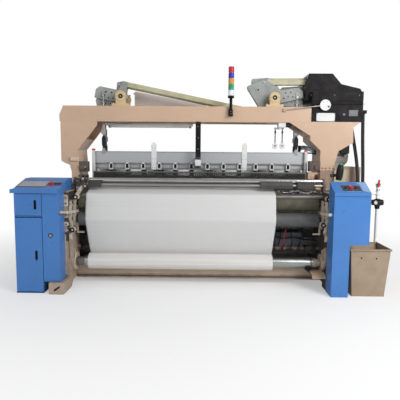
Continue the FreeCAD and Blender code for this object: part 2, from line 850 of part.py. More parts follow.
def front_roller(place, radius):
    """Roller between the two roller brackets: its tube and the journal stub in each end."""
    half = front_roller_length / 2
    journal = bar_x(journal_radius, place, half, side_x - 4)
    return [bar_x(radius, place, -half, half), journal, mirrored(journal)]


def cloth_beam():
    """Cloth beam: tube with an axle in the cradles."""
    tube = bar_x(cloth_beam_radius, cloth_beam_place, roll_left - 40, cloth_beam_right)
    axle = bar_x(journal_radius, cloth_beam_place, 4 - side_x, side_x - 4)
    return joined(tube, axle)


def cloth_roll():
    """Wound cloth on the take-up beam."""
    roll = bar_x(roll_radius, cloth_beam_place, roll_left, roll_right)
    core = bar_x(cloth_beam_radius + part_gap, cloth_beam_place, roll_left - 1, roll_right + 1)
    return without(roll, core)


def cloth():
    """Woven cloth from the fell over the nose and the rollers to the cloth roll."""
    stations = [
        (fell, warp_line, 0, 1), (nose[0], nose[1], nose_radius, 1),
        (take_up[0], take_up[1], take_up_radius, 1), (press[0], press[1], press_radius, 1),
        (cloth_beam_place[0], cloth_beam_place[1], roll_radius, -1),
        (cloth_beam_place[0] - 4, cloth_beam_place[1] - roll_radius - part_gap - cloth_thickness, 0, 1),
    ]
    return web(stations, cloth_thickness, (cloth_left, cloth_right))


def breast_beam():
    """Front rest that the cloth turns over, hollowed above the take-up roller."""
    top = nose[1] + nose_radius
    points = [
        (nose[0], top), (fell - 20, warp_line - 14), (fell - 20, warp_line - 60),
        (nose[0] + 60, nose[1] - 30), (nose[0], nose[1] - nose_radius),
    ]
    body = plate_x(points, (-side_x, side_x))
    rim = bar_x(nose_radius, nose, -side_x, side_x)
    room = bar_x(take_up_radius + roller_room, take_up, -side_x - 1, side_x + 1)
    return without(joined(body, rim), room)


def temple_rails():
    """Two bright tubes above the cloth, clamped to the side frames."""
    inner = side_x + 2
    pieces = [bar_x(tube_radius, place, -inner, inner) for place in (upper_tube, lower_tube)]
    points = [(lower_tube[0] - 34, frame_height), (lower_tube[0] - 34, lower_tube[1] + 20),
              (upper_tube[0] - 24, upper_tube[1] + 28), (upper_tube[0] + 28, upper_tube[1] + 28),
              (upper_tube[0] + 28, frame_height)]
    stand = plate_x(points, (inner, inner + 24))
    return pieces + [stand, mirrored(stand)]


def temple_block(x, width, reach):
    """Temple or clamp on the front of the tubes, with a foot that reaches down to the cloth."""
    back = lower_tube[0] - tube_radius
    behind = upper_tube[0] - tube_radius
    points = [
        (back - reach, lower_tube[1] - 20), (back - reach, lower_tube[1] + 16), (back - 4, upper_tube[1] - 6),
        (behind, upper_tube[1] - 6), (behind, upper_tube[1] - 12), (back, lower_tube[1] + 8),
        (back, lower_tube[1] - 20),
    ]
    span = (x - width / 2, x + width / 2)
    tubes = [bar_x(tube_radius, place, span[0] - 1, span[1] + 1) for place in (upper_tube, lower_tube)]
    return without(plate_x(points, span), *tubes)


def roller_bracket():
    """Right-hand casting on the frame's inner face with the roller bosses and the beam cradle."""
    x = (side_x - bracket_depth, side_x)
    contour = [
        (take_up[0] + 80, take_up[1] + 36), (take_up[0] - 45, take_up[1] + 36),
        (take_up[0] - 85, take_up[1] - 30), (press[0] - 70, press[1] + 30), (press[0] - 66, press[1] - 60),
        (press[0] + 20, press[1] - 96), (press[0] + 70, press[1] - 30),
        (release_shaft[0] + 45, release_shaft[1] - 30), (release_shaft[0] + 50, release_shaft[1] + 50),
    ]
    plate = plate_x(contour, x)
    window = plate_x(rectangle((take_up[0] - 55, take_up[0] - 5), (take_up[1] - 95, take_up[1] - 45)),
                     (x[0] - 1, x[1] + 1))
    bores = []
    for place in (take_up, press):
        bores.append(bar_x(journal_radius + running_fit, place, x[0] - 1, x[1] + 1))
    bores.append(bar_x(release_shaft_radius + running_fit, release_shaft, x[0] - 1, x[1] + 1))
    return without(plate, window, *bores)


def beam_cradle():
    """C-shaped holder of the cloth beam on the frame's inner face."""
    x = (side_x - bracket_depth, side_x)
    y, z = cloth_beam_place
    reach = cloth_beam_radius + 26
    cut = reach / 2
    contour = [(y - reach, z + cut), (y - reach, z - cut), (y - cut, z - reach), (y + cut, z - reach),
               (y + reach, z - cut), (y + reach, z + cut), (y + cut, z + reach), (y - 10, z + reach),
               (y - 10, z + cut)]
    plate = plate_x(contour, x)
    bore = bar_x(journal_radius + running_fit, cloth_beam_place, x[0] - 1, x[1] + 1)
    return without(plate, bore)


def crank_handle():
    """Clamp arm that hangs from the bracket under the press roller, with its grip."""
    x = side_x - bracket_depth - 14
    z = press[1] - 150
    arm = block((x, x + 14), (press[0] - 12, press[0] + 12), (z, press[1] - 42))
    grip = hexagon(18, (x + 7, press[0], z + 9), (x - 60, press[0], z + 9))
    return joined(arm, grip)


def release_levers():
    """Torque shaft with a forward arm at each end that lifts the press roller off."""
    half = side_x - 4
    shaft = bar_x(release_shaft_radius, release_shaft, -half, half)
    out = side_x - bracket_depth - 2
    y, z = release_shaft
    points = [
        (y + 22, z - 20), (y + 22, z + 20), (y - 90, z + 24), (y - release_reach, z + 56),
        (y - release_reach, z + 28), (y - 90, z - 6),
    ]
    arm = plate_x(points, (out - release_arm, out))
    return joined(shaft, arm, mirrored(arm))


def warp_beam():
    """Warp beam: barrel, two flanges and the journals in the frames."""
    half = warp_width / 2
    barrel = bar_x(warp_barrel, warp_beam_place, -half, half)
    axle = bar_x(warp_journal, warp_beam_place, -side_x - journal_seat + 2, side_x + journal_seat - 2)
    pieces = [barrel, axle]
    for side in (-1, 1):
        outer = side * (half + warp_flange_thickness)
        pieces.append(bar_x(warp_flange, warp_beam_place, side * half, outer))
    return joined(*pieces)


def warp_roll():
    """Warp yarn wound between the flanges."""
    half = warp_width / 2 - part_gap
    roll = bar_x(warp_roll_radius, warp_beam_place, -half, half)
    core = bar_x(warp_barrel + part_gap, warp_beam_place, -half - 1, half + 1)
    return without(roll, core)


def warp_sheet():
    """Warp from the yarn roll over the back rest to the back of the harness."""
    last = lever_y(frame_count - 1) + heald_frame_thickness / 2
    lay = warp_roll_radius + part_gap
    normal = tangent_normal((warp_beam_place[0], warp_beam_place[1], lay),
                            (back_rest[0], back_rest[1], back_rest_radius + part_gap))
    start = (warp_beam_place[0] - normal[0] * lay, warp_beam_place[1] - normal[1] * lay)
    stations = [(start[0], start[1], 0, 1), (back_rest[0], back_rest[1], back_rest_radius, 1),
                (last + 12, warp_line, 0, 1)]
    half = warp_width / 2 - 50
    return web(stations, warp_sheet_thickness, (-half, half))


def stop_motion():
    """Warp stop motion: two end plates, rest tubes and the contact rails over the warp."""
    y0 = stop_motion_place - stop_motion_depth / 2
    y1 = stop_motion_place + stop_motion_depth / 2
    pieces = []
    for side in (-1, 1):
        x = sorted((side * (side_x - 45), side * (side_x - 30)))
        pieces.append(block(x, (y0, y1), (frame_height - 60, warp_line + 95)))
        bridge = sorted((side * (side_x - 31), side * (side_x + 50)))
        pieces.append(block(bridge, (y0 + 30, y1 - 30), (frame_height, frame_height + 18)))
    reach = side_x - 44
    for y in (y0 + 22, y1 - 22):
        pieces.append(bar_x(14, (y, warp_line - 30), -reach, reach))
    for number in range(4):
        y = y0 + 35 + number * (stop_motion_depth - 70) / 3
        pieces.append(block((-reach, reach), (y - 4, y + 4), (warp_line + 50, warp_line + 78)))
    return joined(*pieces)


def main_shaft_piece():
    """Main shaft with the handwheel at its left end."""
    left = -outer_x - 70
    right = outer_x + 80
    shaft = bar_x(main_shaft_radius, main_shaft, left, right)
    rim_ends = ((left + 2,) + main_shaft, (left + 30,) + main_shaft)
    room_ends = ((left + 1,) + main_shaft, (left + 31,) + main_shaft)
    rim = without(many_sided(32, handwheel_radius, *rim_ends),
                  many_sided(24, handwheel_radius - 26, *room_ends))
    hub = many_sided(12, main_shaft_radius + 20, (left,) + main_shaft, (left + 40,) + main_shaft)
    spokes = []
    for number in range(4):
        spoke = block((left + 8, left + 24), (-14 + main_shaft[0], main_shaft[0] + 14),
                      (main_shaft[1] + main_shaft_radius, main_shaft[1] + handwheel_radius - 20))
        spoke.rotate(Vector(0, main_shaft[0], main_shaft[1]), Vector(1, 0, 0), 90 * number)
        spokes.append(spoke)
    return joined(shaft, rim, hub, *spokes)


# ---- dobby ----------------------------------------------------------------------------------
def dobby():
    """Dobby casing with its lid groove, and the hood over the pull bars."""
    y = (arch_front, arch_front + dobby_depth)
    casing = block((dobby_left, dobby_right), y, (dobby_bottom, dobby_top))
    groove = []
    for low, high in ((0, 8), (lid_width - 6, lid_width)):
        z = (dobby_bottom + lid_groove + low, dobby_bottom + lid_groove + high)
        groove.append(block((dobby_left - 1, dobby_right + 1), (y[0] - 1, y[0] + 6), z))
    hood_y = (arch_front + 60, y[1])
    top = dobby_top + hood_height
    skirt = dobby_left - part_gap
    contour = [(skirt, dobby_top), (skirt, dobby_top - skirt_drop), (dobby_left - 60, dobby_top - skirt_drop),
               (dobby_left - 60, dobby_top + 100), (dobby_left - 30, top),
               (dobby_left + 222, top), (dobby_left + 318, dobby_top + 85),
               (dobby_right - 19, dobby_top + 38),
               (dobby_right, dobby_top + 8), (dobby_right, dobby_top)]
    hood = plate_y(contour, hood_y)
    pull_z = right_pivot[1] + pull_pin[1]
    pull_travel = 2 * pull_pin[1] * math.sin(right_swing)
    chamber = block((dobby_left - 80, dobby_left + pull_bar_inside + pull_travel + link_height),
                    (lever_y(0) - 14, lever_y(frame_count - 1) + link_side + link_thickness + 8),
                    (pull_z - link_height / 2 - 28, pull_z + link_height / 2 + 24))
    return [joined(without(casing, *groove), hose_gland()), without(hood, chamber)]


# ---- signal tower, guides, lamp and alarm disc ----------------------------------------------
def signal_post():
    """Bracket with two screws and the post under the lamps."""
    plate = block((tower_x - 24, tower_x + 24), (arch_front - 6, arch_front), (1733, 1803))
    foot = block((tower_x - 24, tower_x + 24), (tower_y - 26, arch_front - 5), (1733, 1741))
    post = many_sided(8, 11, (tower_x, tower_y, 1740), (tower_x, tower_y, lens_bottom))
    base = many_sided(16, lens_radius + 2, (tower_x, tower_y, lens_bottom - 22), (tower_x, tower_y, lens_bottom))
    screws = []
    for z in (1762, 1788):
        for side in (-15, 15):
            x = tower_x + side
            screws.append(hexagon(10, (x, arch_front - 6, z), (x, arch_front - 11, z)))
    return joined(plate, foot, post, base, *screws)


def signal_lenses():
    """Five stacked lamp lenses."""
    lenses = []
    for number in range(5):
        low = lens_bottom + lens_pitch * number
        lenses.append(many_sided(16, lens_radius, (tower_x, tower_y, low), (tower_x, tower_y, low + lens_pitch)))
    return lenses


def heald_guides():
    """Centre guide bar with its shoe, and a post with a foot at each side of the harness."""
    back = lever_y(0) - heald_frame_thickness / 2 - 6
    half = guide_width / 2
    bar_part = block((guide_x - half, guide_x + half), (arch_front - 22, arch_front),
                     (guide_shoe_top - 1, beam_bottom + 40))
    shoe = block((guide_x - half - 4, guide_x + half + 4), (arch_front - 22, back - 2),
                 (guide_shoe_top - guide_shoe_height, guide_shoe_top))
    pieces = [joined(bar_part, shoe)]
    for side in (-1, 1):
        x = sorted((side * side_post_x, side * (side_post_x + 30)))
        post = block(x, (back - 34, back - 8), (side_post_bottom - 1, side_post_bottom + side_post_height))
        neck = left_neck[1] if side < 0 else right_neck[0]
        foot = block(sorted((side * side_post_x, neck)), (back - 34, back - 8),
                     (side_post_bottom - 26, side_post_bottom))
        pieces.append(joined(post, foot))
    return pieces


def work_lamp():
    """Strip lamp under the arch, hung from the rear beam and the ties."""
    y = arch_back - beam_depth
    points = [(y - 60, beam_bottom - 30), (y - 60, beam_bottom - 12), (y - 30, beam_bottom),
              (y + 20, beam_bottom), (y + 20, beam_bottom - 30)]
    return plate_x(points, (-1053, -80))


def alarm_disc():
    """White disc on a rod in front of the beam."""
    y = arch_front - 16
    start = (903.0, y, 1799.0)
    end = (1328.0, y, 1854.0)
    foot = block((885, 915), (arch_front - 24, arch_front), (1784, 1814))
    disc = bar(57.5, (end[0], y - 16, end[2]), (end[0], y - 5, end[2]))
    return joined(foot, many_sided(6, 6, start, end), disc)


# ---- control cabinet, covers and buttons ----------------------------------------------------
def cabinet():
    """Folded cabinet shell, open at the front behind the door and the hatch."""
    y = (cabinet_front + door_thickness + part_gap, cabinet_front + cabinet_depth)
    shell = block((cabinet_left, cabinet_right), y, (0, cabinet_top))
    divider = (door_top + 4, hatch_bottom - 4)
    inside_x = (cabinet_left + sheet, cabinet_right - sheet)
    lower = block(inside_x, (y[0] - 1, y[1] - sheet), (sheet, divider[0]))
    upper = block(inside_x, (y[0] - 1, y[1] - sheet), (divider[1], cabinet_top - sheet))
    tie_x = (cabinet_right - 1, -outer_x)
    tie = block(tie_x, (y[1] - 120, y[1] - 40), (600, 640))
    low_tie = block(tie_x, (y[1] - 120, y[1] - 40), (180, 220))
    x, z = (cabinet_left, hinge_place[0] + 8), (door_top + 5, hatch_bottom - 5)
    knuckle = block(x, (hinge_place[1] - 5, y[0] + 1), z)
    bore = bar(hinge_pin + running_fit, hinge_place + (z[0] - 1,), hinge_place + (z[1] + 1,))
    return joined(without(shell, lower, upper), tie, low_tie, without(knuckle, bore))


def slot_handle(x, z):
    """Cup of the slot handle: long rounded recess."""
    points = rectangle((x - 9, x + 9), z)
    return plate_y(points, (cabinet_front - 1, cabinet_front + 9), 8.9)


def cabinet_panel(z, handle_z, pin_z):
    """Door or hatch: pressed panel with a folded edge, a slot handle and a hinge pin in the knuckle."""
    x = (cabinet_left + 1, cabinet_right - 1)
    panel = block(x, (cabinet_front, cabinet_front + door_thickness), z)
    tray_y = (cabinet_front + 10 + sheet, cabinet_front + door_thickness + 1)
    tray = block((x[0] + sheet, x[1] - sheet), tray_y, (z[0] + sheet, z[1] - sheet))
    seat = block((hinge_place[0] - hinge_pin, hinge_place[0] + 10), (cabinet_front + 2, tray_y[1] - 1),
                 (min(pin_z), max(pin_z)))
    seat = seat.common(panel)
    pin = bar(hinge_pin, hinge_place + (pin_z[0],), hinge_place + (pin_z[1],))
    handle_x = cabinet_right - 60
    return joined(without(panel, tray, slot_handle(handle_x, handle_z)), seat, pin)


def column_cover():
    """Folded cover on the front of the left frame, open at the back, with the lock seat."""
    x = (cabinet_right + door_gap, column_right)
    y = (cabinet_front, cabinet_front + column_depth)
    shell = block(x, y, (column_bottom, cabinet_top))
    inside = block((x[0] + sheet, x[1] - sheet), (y[0] + sheet, y[1] + 1),
                   (column_bottom + sheet, cabinet_top - sheet))
    seat = bar_y(lock_radius + part_gap, lock_place, y[0] - 1, y[0] + sheet + 1)
    tie = block((-outer_x + 10, -side_x - 60), (y[1] - 1, -frame_front), (700, 760))
    stay = block((-outer_x + 10, -side_x - 60), (y[0] + sheet - 0.5, y[1]), (700, 704))
    return joined(without(shell, inside, seat), stay, tie)


def cover_lock():
    """Turning lock barrel with its key slot."""
    face = bar_y(lock_radius, lock_place, cabinet_front - 4, cabinet_front + 14)
    slot = block((lock_place[0] - 1.5, lock_place[0] + 1.5), (cabinet_front - 5, cabinet_front),
                 (lock_place[1] - 6, lock_place[1] + 6))
    return without(face, slot)


def on_slope(shape, x, along, front, height, angle):
    """Put a shape drawn on the XY plane onto a sloping top, a way up the slope from its front edge."""
    copy = shape.copy()
    copy.rotate(Vector(0, 0, 0), Vector(1, 0, 0), math.degrees(angle))
    copy.translate(Vector(x, front + along * math.cos(angle), height + along * math.sin(angle)))
    return copy


def stop_well():
    """Round hole for a stop button, drawn on the XY plane."""
    return bar(stop_button_radius + part_gap, (0, 0, -button_travel - 8), (0, 0, 20))


def start_well():
    """Square hole for a push button, drawn on the XY plane."""
    half = start_button_side / 2 + part_gap
    return block((-half, half), (-half, half), (-button_travel - 8, 20))


def stop_button():
    """Round stop button."""
    return many_sided(24, stop_button_radius, (0, 0, -7), (0, 0, 21))


def start_button():
    """Square push button."""
    half = start_button_side / 2
    return block((-half, half), (-half, half), (-7, 7))


def console():
    """Sloping console over the cabinet and the column, with button wells and a screen recess."""
    back = cabinet_front + cabinet_depth
    run = console_front + console_slope_depth
    points = [(console_front, cabinet_top), (console_front, console_edge), (run, console_back_height),
              (back, console_back_height), (back, cabinet_top)]
    body = plate_x(points, (cabinet_left - 4, column_right))
    lip = block((cabinet_left - console_overhang, column_right), (console_front - 10, console_front + 30),
                (cabinet_top, console_edge))
    side_lip = block((cabinet_left - console_overhang, cabinet_left), (console_front, back),
                     (cabinet_top, console_edge))
    frame_top = block((-outer_x - 1, column_right + 1), (-frame_front - 1, back + 1),
                      (cabinet_top - 1, frame_height))
    tools = [frame_top]
    for name, x in left_buttons.items():
        well = stop_well() if name == "stop" else start_well()
        tools.append(on_slope(well, x, console_button_along, console_front, console_edge, slope_angle))
    half_x = screen_size[0] / 2
    half_y = screen_size[1] / 2
    recess = block((-half_x, half_x), (-half_y, half_y), (-3, 30))
    tools.append(on_slope(recess, screen_x, console_button_along, console_front, console_edge, slope_angle))
    return without(joined(body, lip, side_lip), *tools)


def console_screen():
    """Display in the console's recess."""
    half_x = screen_size[0] / 2 - part_gap
    half_y = screen_size[1] / 2 - part_gap
    glass = block((-half_x, half_x), (-half_y, half_y), (-3, 3))
    pane = block((20 - half_x, half_x - 20), (16 - half_y, half_y - 16), (2, 4))
    return on_slope(without(glass, pane), screen_x, console_button_along, console_front, console_edge,
                    slope_angle)


def side_cover():
    """Right-hand cover: full column at the inside, a shorter wing outside and a sloping top."""
    y = (cover_front, cover_front + cover_depth)
    inner = (cover_left, cover_left + cover_column_width)
    front_outline = [
        (cover_left, 0), (inner[1], 0), (inner[1], cover_notch_height), (cover_right, cover_notch_height),
        (cover_right, cover_back_height), (cover_left, cover_back_height),
    ]
    body = plate_y(front_outline, y)
    above = plate_x([(y[0] - 1, cover_lip_height - math.tan(cover_slope)), (y[1] + 1, cover_back_height + 1),
                     (y[1] + 1, cover_back_height + 60), (y[0] - 1, cover_back_height + 60)],
                    (cover_left - 1, cover_right + 1))
    seam = block((cover_left - 1, cover_right + 1), (y[0] - 1, y[0] + 2.5), (951, 954))
    foot_room = block((side_x - part_gap, outer_x + 3), (-right_foot_front - 3, y[1] + 1),
                      (-1, foot_height + 3))
    wells = []
    for name, x in right_buttons.items():
        well = stop_well() if name == "stop" else start_well()
        wells.append(on_slope(well, x, cover_button_along, cover_front, cover_lip_height, cover_slope))
    stay = block((side_x + 20, outer_x - 20), (y[1] - 1, -frame_front), (560, 760))
    return joined(without(body, above, seam, foot_room, *wells), stay)


def tapered(width, depth, foot_width, foot_depth, low, high):
    """Upright block that widens upwards, centred under the bin's rim."""
    x = bin_left + bin_rim[0] / 2
    y = bin_front + bin_rim[1] / 2
    wedge = Part.makeWedge(-foot_width / 2, low, -foot_depth / 2, -depth / 2, -width / 2,
                           foot_width / 2, high, foot_depth / 2, depth / 2, width / 2)
    wedge.rotate(Vector(0, 0, 0), Vector(1, 0, 0), 90)
    wedge.translate(Vector(x, y, 0))
    return Part.Solid(wedge) if wedge.ShapeType == "Shell" else wedge


def waste_bin():
    """Tapered sheet bin with a folded rim, on the floor."""
    wall = 2 * bin_wall
    outer = tapered(bin_rim[0], bin_rim[1], bin_foot[0], bin_foot[1], 0, bin_height)
    inner = tapered(bin_rim[0] - wall, bin_rim[1] - wall, bin_foot[0] - wall, bin_foot[1] - wall,
                    bin_wall, bin_height + 1)
    rim = block((bin_left - 8, bin_left + bin_rim[0] + 8), (bin_front - 8, bin_front + bin_rim[1] + 8),
                (bin_height - 12, bin_height))
    return without(joined(outer, rim), inner)


def air_stand():
    """White air pipe on a floor flange with its regulator, stayed to the frame."""
    x, y = stand_place
    pipe = bar(stand_pipe, (x, y, 0), (x, y, stand_height))
    flange = block((x - 55, x + 55), (y - 55, y + 55), (0, 10))
    body = many_sided(12, 34, (x, y, 800), (x, y, 880))
    cup = block((x - 62, x + 62), (y - 28, y + 28), (812, 868))
    valve = block((x - 20, x + 20), (y - 20, y + 20), (stand_height - 1, stand_height + 34))
    stem_hole = bar(6 + running_fit, (x, y - 21, stand_height + 16), (x, y, stand_height + 16))
    arm = block((outer_x, x - stand_pipe + 4), (y - 14, y + 14), (frame_height - 30, frame_height))
    plate = block((outer_x, outer_x + 10), (y - 50, y + 50), (frame_height - 70, frame_height - 5))
    return without(joined(pipe, flange, body, cup, valve, arm, plate), stem_hole)


def air_valve_handle():
    """Lever of the ball valve with its stem."""
    x, y = stand_place
    z = stand_height + 16
    stem = bar(6, (x, y - 32, z), (x, y - 2, z))
    lever_part = block((x - 9, x + 9), (y - 34, y - 26), (z - 10, z + 58))
    return joined(stem, lever_part)


def air_hoses():
    """Two cable hoses from the dobby down to the ledge of the drive housing."""
    back = arch_back + hose_radius + 12
    first = [(1706, back, dobby_bottom), (1706, back, 1480), (1762, 60, 1130), (1762, 60, ledge_top)]
    second = [(hose_gland_x, 20, 1790), (hose_gland_x, 20, 1560), (1852, 50, 1130), (1852, 50, ledge_top)]
    return [hose(first, hose_radius, 400), hose(second, hose_radius, 400)]


def hose_gland():
    """Junction box on the dobby's right face that the outer hose hangs from."""
    return block((dobby_right, hose_gland_x + 30), (-12, 52), (1790, 1826))


def drive_motor():
    """Finned drive motor of the dobby on the gear housing."""
    place = motor_place
    left = outer_x + 30
    body = many_sided(24, motor_radius, (left,) + place, (left + 300,) + place)
    cap = block((left + 299, left + 316), (place[0] - 50, place[0] + 50), (place[1] - 50, place[1] + 50))
    foot = block((left + 40, left + 220), (place[0] - 60, place[0] + 60), (housing_top, place[1]))
    box_part = block((left + 90, left + 190), (place[0] - 50, place[0] + 20), (place[1] + 60, place[1] + 130))
    return joined(body, cap, foot, box_part)


# ---- write every sub-part -------------------------------------------------------------------
os.makedirs("parts", exist_ok=True)

save("left_side_frame", mirrored(side_frame(left_foot_front)))
save("right_side_frame", side_frame(right_foot_front), drive_housing())
save("cross_girders",
     joined(girder(front_girder_place, girder_height, True), foot_bracket()),
     girder(middle_girder_place, girder_height, False),
     girder(rear_girder_place, rear_girder_height, False))
save("breast_beam", breast_beam())
save("arch_beams", arch_beam(arch_front), arch_beam(arch_back - beam_depth),
     beam_tie(left_pivot[0]), beam_tie(right_pivot[0]), beam_tie(0.0))
save("arch_left_leg", left_leg())
save("arch_right_leg", right_leg())
save("lever_bearings", *lever_bearings())
save("dobby_housing", *dobby())
save("signal_post", signal_post())
save("signal_lenses", *signal_lenses())
save("heald_guides", *heald_guides())
save("work_lamp", work_lamp())
save("alarm_disc", alarm_disc())

for name, first, lift_sign in (("a", 0, 1), ("b", 1, -1)):
    frames = []
    left_levers = []
    right_levers = []
    links = []
    pulls = []
    left_turn = lift_sign * left_swing
    right_turn = -lift_sign * right_swing
    for index in range(first, frame_count, 2):
        y = lever_y(index)
        frames.extend(heald_frame(index, lift_sign * shed_lift / 2))
        left_levers.append(swung(left_lever(y), left_pivot, left_turn))
        right_levers.append(swung(right_lever(y), right_pivot, right_turn))
        links.append(link_bar(y, left_turn, right_turn))
        pulls.append(pull_bar(y, right_turn))
    save("heald_frames_" + name, *frames)
    save("left_levers_" + name, *left_levers)
    save("right_levers_" + name, *right_levers)
    save("link_bars_" + name, *links)
    save("pull_bars_" + name, *pulls)

save("sley", sley())
save("reed", reed())
save("main_shaft", main_shaft_piece())
save("cloth", cloth())
save("take_up_roller", *front_roller(take_up, take_up_radius))
save("press_roller", *front_roller(press, press_radius))
save("cloth_beam", cloth_beam())
save("cloth_roll", cloth_roll())
save("temple_rails", *temple_rails())
save("temples", temple_block(-1060, 130, 16), temple_block(790, 330, 18), temple_block(1085, 170, 26),
     temple_block(-1185, 40, 30))
bracket = roller_bracket()
cradle = beam_cradle()
handle = crank_handle()
save("roller_brackets", bracket, mirrored(bracket), cradle, mirrored(cradle), handle, mirrored(handle))
save("release_levers", release_levers())
save("back_rest_roller", roller(back_rest, back_rest_radius, back_rest_length, journal_radius))
save("warp_beam", warp_beam())
save("warp_roll", warp_roll())
save("warp_sheet", warp_sheet())
save("warp_stop_motion", stop_motion())

save("control_cabinet", cabinet())
save("cabinet_door", cabinet_panel((door_bottom, door_top), (310, 410), (door_top - 20, hinge_middle - 1)))
save("cabinet_hatch", cabinet_panel((hatch_bottom, cabinet_top - door_gap), (800, 880),
                                    (hatch_bottom + 20, hinge_middle + 1)))
save("column_cover", column_cover())
save("cover_lock", cover_lock())
save("control_console", console())
save("console_screen", console_screen())
for name, x in left_buttons.items():
    cap = stop_button() if name == "stop" else start_button()
    save("left_" + name + "_button", on_slope(cap, x, console_button_along, console_front, console_edge,
                                              slope_angle))
save("side_cover", side_cover())
for name, x in right_buttons.items():
    cap = stop_button() if name == "stop" else start_button()
    save("right_" + name + "_button", on_slope(cap, x, cover_button_along, cover_front, cover_lip_height,
                                               cover_slope))
save("waste_bin", waste_bin())
save("air_stand", air_stand())
save("air_valve_handle", air_valve_handle())
save("air_hoses", *air_hoses())
save("drive_motor", drive_motor())
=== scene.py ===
import math
import bmesh
import bpy
import numpy as np
from mathutils import Matrix, Vector


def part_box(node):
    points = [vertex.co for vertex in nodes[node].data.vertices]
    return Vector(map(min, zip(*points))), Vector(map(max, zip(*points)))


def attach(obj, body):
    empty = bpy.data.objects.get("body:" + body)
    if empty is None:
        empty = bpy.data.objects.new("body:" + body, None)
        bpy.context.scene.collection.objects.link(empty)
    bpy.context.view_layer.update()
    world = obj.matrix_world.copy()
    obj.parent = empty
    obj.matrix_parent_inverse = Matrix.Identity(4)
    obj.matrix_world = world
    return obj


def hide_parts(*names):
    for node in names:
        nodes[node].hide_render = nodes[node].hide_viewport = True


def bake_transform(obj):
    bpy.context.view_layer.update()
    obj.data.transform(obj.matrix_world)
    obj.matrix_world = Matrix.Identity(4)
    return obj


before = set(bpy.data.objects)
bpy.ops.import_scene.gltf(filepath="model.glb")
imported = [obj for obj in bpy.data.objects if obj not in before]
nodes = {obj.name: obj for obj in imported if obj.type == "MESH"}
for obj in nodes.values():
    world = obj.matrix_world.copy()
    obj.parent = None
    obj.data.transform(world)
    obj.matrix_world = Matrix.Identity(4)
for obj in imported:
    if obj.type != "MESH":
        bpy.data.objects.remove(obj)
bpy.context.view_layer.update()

print("frame loaded with", len(nodes), "nodes")


# camera, lamps, floor and backdrop
view = {
    "place": (0.065, -4.99, 1.34),   # metres
    "yaw": -0.65, "pitch": 6.1, "roll": 0.45,   # degrees
    "lens": 39.6, "sensor": 36.0, "farthest": 200.0,
}
studio = {
    "world": 0.41, "worldColour": (0.97, 0.985, 1.0, 1.0),   # light from all round
    "lamps": {   # power in watts and place in metres
        "keyLamp": (203.0, (3.4, -4.2, 3.4)),
        "fillLamp": (30.0, (-3.4, -4.2, 2.6)),
        "backLamp": (45.0, (0.5, 4.2, 3.6)),
    },
    "lampSize": 3.0, "aim": (0.0, 0.0, 0.9),
    "floorColour": (0.93, 0.93, 0.93), "floorReach": 30.0,
    "fadeFrom": 1.2, "fadeTo": 4.6,   # metres from the middle, where the floor turns into the backdrop
    "fadeLeast": 0.35,
}
white = (1.0, 1.0, 1.0, 1.0)


def feed(tree, node, inputs):
    # outputs of other nodes are linked in, and plain values are set
    for key, value in inputs.items():
        if isinstance(value, bpy.types.NodeSocket):
            tree.links.new(value, node.inputs[key])
        else:
            node.inputs[key].default_value = value


def addNode(tree, kind, inputs={}, **settings):
    node = tree.nodes.new("ShaderNode" + kind)
    for key, value in settings.items():
        setattr(node, key, value)
    feed(tree, node, inputs)
    return node.outputs


def compute(tree, operation, *values):
    return addNode(tree, "Math", dict(enumerate(values)), operation=operation)[0]


def placeInScene(thing, name):
    holder = bpy.data.objects.new(name, thing)
    bpy.context.scene.collection.objects.link(holder)
    return holder


def aimCamera():
    # forward from yaw and pitch, then the picture's right and up turned by the roll
    yaw, pitch, roll = (math.radians(view[key]) for key in ("yaw", "pitch", "roll"))
    forward = Vector((math.sin(yaw) * math.cos(pitch), math.cos(yaw) * math.cos(pitch), -math.sin(pitch)))
    level = Vector((math.cos(yaw), -math.sin(yaw), 0.0))
    upright = level.cross(forward)
    right = level * math.cos(roll) + upright * math.sin(roll)
    up = upright * math.cos(roll) - level * math.sin(roll)
    camera = bpy.data.cameras.new("photoCamera")
    camera.lens = view["lens"]
    camera.sensor_width = view["sensor"]
    camera.clip_end = view["farthest"]
    matrix = Matrix((right, up, -forward)).transposed().to_4x4()
    matrix.translation = Vector(view["place"])
    holder = placeInScene(camera, "photoCamera")
    holder.matrix_world = matrix
    bpy.context.scene.camera = holder


def lightStudio():
    # the camera sees plain white all round, while everything else is lit by the softer world light
    scene = bpy.context.scene
    scene.view_settings.view_transform = "Standard"
    scene.world = bpy.data.worlds.new("studioWorld")
    scene.world.use_nodes = True
    tree = scene.world.node_tree
    tree.nodes.clear()
    path = addNode(tree, "LightPath")
    seen = compute(tree, "MAXIMUM", path["Is Camera Ray"], path["Is Transmission Ray"])
    soft = addNode(tree, "Background", {"Color": studio["worldColour"], "Strength": studio["world"]})[0]
    plain = addNode(tree, "Background", {"Color": white, "Strength": 1.0})[0]
    addNode(tree, "OutputWorld", {"Surface": addNode(tree, "MixShader", {"Fac": seen, 1: soft, 2: plain})[0]})
    for name, (power, place) in studio["lamps"].items():
        lamp = bpy.data.lights.new(name, "AREA")
        lamp.shape = "DISK"
        lamp.size = studio["lampSize"]
        lamp.energy = power
        aim = (Vector(studio["aim"]) - Vector(place)).to_track_quat("-Z", "Y")
        placeInScene(lamp, name).matrix_world = Matrix.Translation(place) @ aim.to_matrix().to_4x4()


